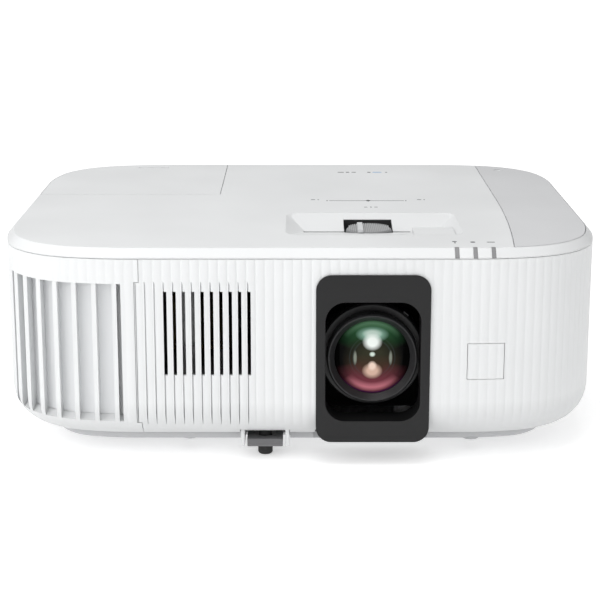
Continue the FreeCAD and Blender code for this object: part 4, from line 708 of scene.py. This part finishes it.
def bars(name, points, turns, reaches, thickness, height, finish):
    # a bar at each point, stretched along its own Y by the point's reach and turned by its turn
    obj = newObject(name, points, [])
    setAttribute(obj, "turn", "FLOAT_VECTOR", turns)
    setAttribute(obj, "reach", "FLOAT", reaches)
    t = Repeat(name + "Tree", {"Thickness": thickness, "Height": height})
    cube = t.add("GeometryNodeMeshCube")
    t.link(t.vector(t.inputs["Thickness"], 1.0, t.inputs["Height"]), cube.inputs["Size"])
    shift = t.add("GeometryNodeTransform")
    t.link(cube.outputs[0], shift.inputs["Geometry"])
    shift.inputs["Translation"].default_value = (0, 0.5, 0)
    place = t.add("GeometryNodeInstanceOnPoints")
    t.link(t.inputs["Geometry"], place.inputs["Points"])
    t.link(shift.outputs[0], place.inputs["Instance"])
    toTurn = t.add("FunctionNodeEulerToRotation")
    t.link(t.attribute("turn", "FLOAT_VECTOR"), toTurn.inputs[0])
    t.link(toTurn.outputs[0], place.inputs["Rotation"])
    t.link(t.vector(1.0, t.attribute("reach", "FLOAT"), 1.0), place.inputs["Scale"])
    t.close(place.outputs[0])
    return t.applyTo(obj, finish)


def filledCase(name, spacing=0.003):
    # the case as a filled body with its rounded lower edge
    samples, _ = outlineSamples(spacing)
    rows = wallRows()[:ribs["filletRows"] + 3]
    verts = [(x + nx * inset, y + ny * inset, z) for z, inset, _ in rows for x, y, nx, ny, _, _ in samples]
    n = len(samples)
    faces = [(r * n + k, (r + 1) * n + k, (r + 1) * n + (k + 1) % n, r * n + (k + 1) % n)
             for r in range(len(rows) - 1) for k in range(n)]
    faces += [tuple(range(n)), tuple(range(len(rows) * n - 1, (len(rows) - 1) * n - 1, -1))]
    obj = newObject(name, verts, faces)
    fixNormals(obj)
    return obj


def louvreBlades():
    samples, total = outlineSamples(0.0002)
    points, turns, reaches = [], [], []
    along, inside = grille["first"], grille["setIn"]
    while True:
        x, y, nx, ny, _, h = samples[int(round((total - along) / total * len(samples)))]
        if y > grille["endY"] - grille["bladeEnd"]:
            break
        heading = 2 * math.pi - h
        lean = grille["leanShare"] * max(0.0, heading - math.radians(grille["leanFrom"]))
        points.append((x + nx * inside, y + ny * inside, (grille["bottom"] + grille["top"]) / 2))
        turns.append((0.0, 0.0, -lean))
        reaches.append((grille["deep"] - inside) / max(grille["leanLimit"], math.cos(heading - lean)))
        along += grille["pitch"]
    height = grille["top"] - grille["bottom"] + grille["bladeSpare"]
    return boolean(bars("blades", points, turns, reaches, grille["thick"], height, "wallWhite"),
                   filledCase("caseBody"), "INTERSECT")


low, high, deep = grille["bottom"], grille["top"], grille["deep"]
lowerRail = [(low - 0.0015, 0.0034), (low - 0.0015, deep), (low + grille["ledge"], deep), (low, 0.0026)]
upperRail = [(high, 0.002), (high, deep), (high + 0.0025, deep), (high + 0.0025, 0.002)]
grilleRing = joined([grilleRing, shelf(lowerRail), shelf(upperRail), louvreBlades()], "louvreGrille")
dress(grilleRing, "wallWhite", "projector_case", ["exhaust_grille"])
print("grille made:", len(grilleRing.data.polygons), "faces")

# the dial's ridges, with none where its pointer lies
dial = {"x": 0.0393, "y": -0.070, "radius": 0.0125, "top": 0.1184, "pitch": 0.00105, "width": 0.00062, "rise": 0.0005,
        "perSide": 11, "pointer": (-0.0068, -0.0032)}
ridgeXs = [dial["pitch"] * (k + 0.5) for k in range(-dial["perSide"], dial["perSide"])]
ridgeXs = [x for x in ridgeXs if not dial["pointer"][0] < x < dial["pointer"][1]]
halves = [math.sqrt(dial["radius"] ** 2 - x * x) for x in ridgeXs]
ridges = bars("dialRidges", [(dial["x"] + x, dial["y"] - h, dial["top"]) for x, h in zip(ridgeXs, halves)],
              [(0.0, 0.0, 0.0)] * len(halves), [2 * h for h in halves], dial["width"], 2 * dial["rise"], "dialRidge")
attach(ridges, "shift_dial")

# painted shade: black strips laid in the slit along the scoop and against the back and sides of the dial's pocket,
# standing in for the shade in these hollows
slit = {"left": 0.0022, "right": 0.0633, "back": -0.06495, "front": -0.06985, "low": 0.1145, "high": 0.11535,
        "gapLeft": 0.0251, "gapRight": 0.0535}
pocket = {"halfWidth": 0.0138, "back": -0.04735, "backThick": 0.0003, "front": -0.066, "sideIn": 0.0001,
          "sideOut": 0.0002, "low": 0.1045, "top": 0.1187, "sideTop": 0.1155}
shadeStrips = [boxCutter(x0, x1, slit["front"], slit["back"], slit["low"], slit["high"])
          for x0, x1 in ((slit["left"], slit["gapLeft"]), (slit["gapRight"], slit["right"]))]
shadeStrips.append(boxCutter(dial["x"] - pocket["halfWidth"], dial["x"] + pocket["halfWidth"], pocket["back"],
                        pocket["back"] + pocket["backThick"], pocket["low"], pocket["top"]))
for side in (dial["x"] - pocket["halfWidth"], dial["x"] + pocket["halfWidth"]):
    shadeStrips.append(boxCutter(side - pocket["sideIn"], side + pocket["sideOut"], pocket["front"], pocket["back"],
                            pocket["low"], pocket["sideTop"]))
shadeStrips = joined(shadeStrips, "scoopSlitShade")
shadeStrips.data.materials.append(finishes["panelBlack"])
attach(shadeStrips, "projector_case")

# printed marks in millimetres: x, y, half width, half depth; under and top are heights in metres
marks = {"scale": [(40.7, 0.7, 23.0, 0.6), (16.6, 0.7, 0.4, 1.2), (64.8, 0.7, 0.4, 1.2)],
         "signs": [(8.0, 4.0, 1.4, 0.9), (11.2, 4.0, 0.5, 0.9), (73.2, 4.0, 1.4, 0.9), (76.3, 4.0, 0.5, 0.9),
                   (39.4, -20.0, 1.1, 0.8), (42.6, -20.0, 0.5, 1.2), (45.6, -20.0, 1.1, 0.8)],
         "greyLabels": [(27.5, 103, 2.2, 1.2), (32.0, 103, 1.2, 1.6), (36.2, 103, 1.6, 1.2), (46.4, 103, 1.2, 1.6),
                        (58.0, 103, 0.8, 1.2)],
         "blueLabels": [(51.8, 103, 3.2, 1.8)],
         "lights": [(83.6, -118.0, 1.3, 1.3), (83.6, -121.2, 0.4, 1.2), (93.4, -119.4, 1.3, 1.7),
                    (103.2, -119.4, 2.3, 0.9)],
         "diamond": [(39.9, 0.7), (41.7, 3.4), (43.5, 0.7), (41.7, -2.0)], "top": 0.12102, "under": 0.1206}


def printed(outline):
    return prism("mark", outline, "z", marks["under"], marks["top"])


def mark(x, y, halfW, halfD):
    return printed(roundOutline(x * mm, y * mm, halfW * mm, halfD * mm, min(halfW, halfD) * 0.9 * mm, 5))


def markPiece(name, shapes, finish):
    obj = joined(shapes, name)
    obj.data.materials.append(finishes[finish])
    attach(obj, "projector_case")


diamond = printed([(x * mm, y * mm) for x, y in marks["diamond"]])
markPiece("scaleMarks", [mark(*m) for m in marks["scale"]] + [diamond], "printDark")
markPiece("lidSigns", [mark(*m) for key in ("signs", "lights", "greyLabels") for m in marks[key]], "printDark")
markPiece("lidLabels", [mark(*m) for m in marks["blueLabels"]], "printBlue")
print("dial ridges, slit and marks made")

# floor, light and camera; each light gives its place, its target, its size and its power
studio = {"lens": 97.4, "sensor": 36.0, "cameraY": -0.9776, "cameraZ": 0.3067, "pitch": 13.8, "shiftY": -0.0213,
          "sky": 0.62, "horizon": 0.12, "skyFrom": 0.12, "skyTo": 0.3, "nearGlow": 0.46, "farGlow": 0.62,
          "nearRadius": 0.5, "farRadius": 1.8, "floorHalf": 14.0,
          "lights": {"keyLight": ((-1.05, -0.95, 0.7), (0, 0, 0.06), 1.0, 7.0),
                     "frontLight": ((-0.25, -1.3, 1.0), (0, -0.1, 0.1), 0.8, 1.6),
                     "topLight": ((-0.2, -0.25, 1.3), (0, 0, 0.06), 0.9, 7.0)}}


def area(name, place, target, size, power):
    data = bpy.data.lights.new(name, "AREA")
    data.shape, data.size, data.energy = "SQUARE", size, power
    lamp = bpy.data.objects.new(name, data)
    bpy.context.scene.collection.objects.link(lamp)
    lamp.location = place
    lamp.rotation_euler = (Vector(target) - Vector(place)).to_track_quat("-Z", "Y").to_euler()


def floorPaint():
    # pale floor that glows a little more with distance, so that it stays pale to the horizon
    t = Finish("floorPaint")
    t.into(t.mixColour(t.noise(2.0), (0.83, 0.83, 0.83), (0.85, 0.85, 0.85)), "Base Color")
    far = t.add("ShaderNodeVectorMath", operation="LENGTH")
    t.link(t.coords, far.inputs[0])
    t.into(t.ramp(far.outputs["Value"], studio["nearGlow"], studio["farGlow"], studio["nearRadius"],
                  studio["farRadius"]), "Emission Strength")
    t.constants({"Emission Color": (1, 1, 1, 1), "Roughness": 0.8, "Specular IOR Level": 0.0})


half = studio["floorHalf"]
floorPaint()
floor = newObject("studioFloor", [(-half, -half, 0), (half, -half, 0), (half, half, 0), (-half, half, 0)],
                  [(0, 1, 2, 3)])
floor.data.materials.append(finishes["floorPaint"])
for name, settings in studio["lights"].items():
    area(name, *settings)

# sky: dim round the horizon, brighter overhead
world = bpy.data.worlds.new("studioWorld")
bpy.context.scene.world = world
world.use_nodes = True
sky = NodeTree(world.node_tree)
height = sky.parts(sky.add("ShaderNodeTexCoord").outputs["Generated"])["Z"]
background = sky.nodes["Background"]
background.inputs[0].default_value = (1, 1, 1, 1)
sky.link(sky.ramp(height, studio["horizon"], studio["sky"], studio["skyFrom"], studio["skyTo"]), background.inputs[1])

cameraData = bpy.data.cameras.new("camera")
camera = bpy.data.objects.new("camera", cameraData)
bpy.context.scene.collection.objects.link(camera)
bpy.context.scene.camera = camera
cameraData.sensor_width, cameraData.lens, cameraData.shift_y = studio["sensor"], studio["lens"], studio["shiftY"]
camera.location = (0, studio["cameraY"], studio["cameraZ"])
camera.rotation_euler = (math.radians(90 - studio["pitch"]), 0, 0)
bpy.context.scene.view_settings.view_transform = "Standard"
print("studio made")
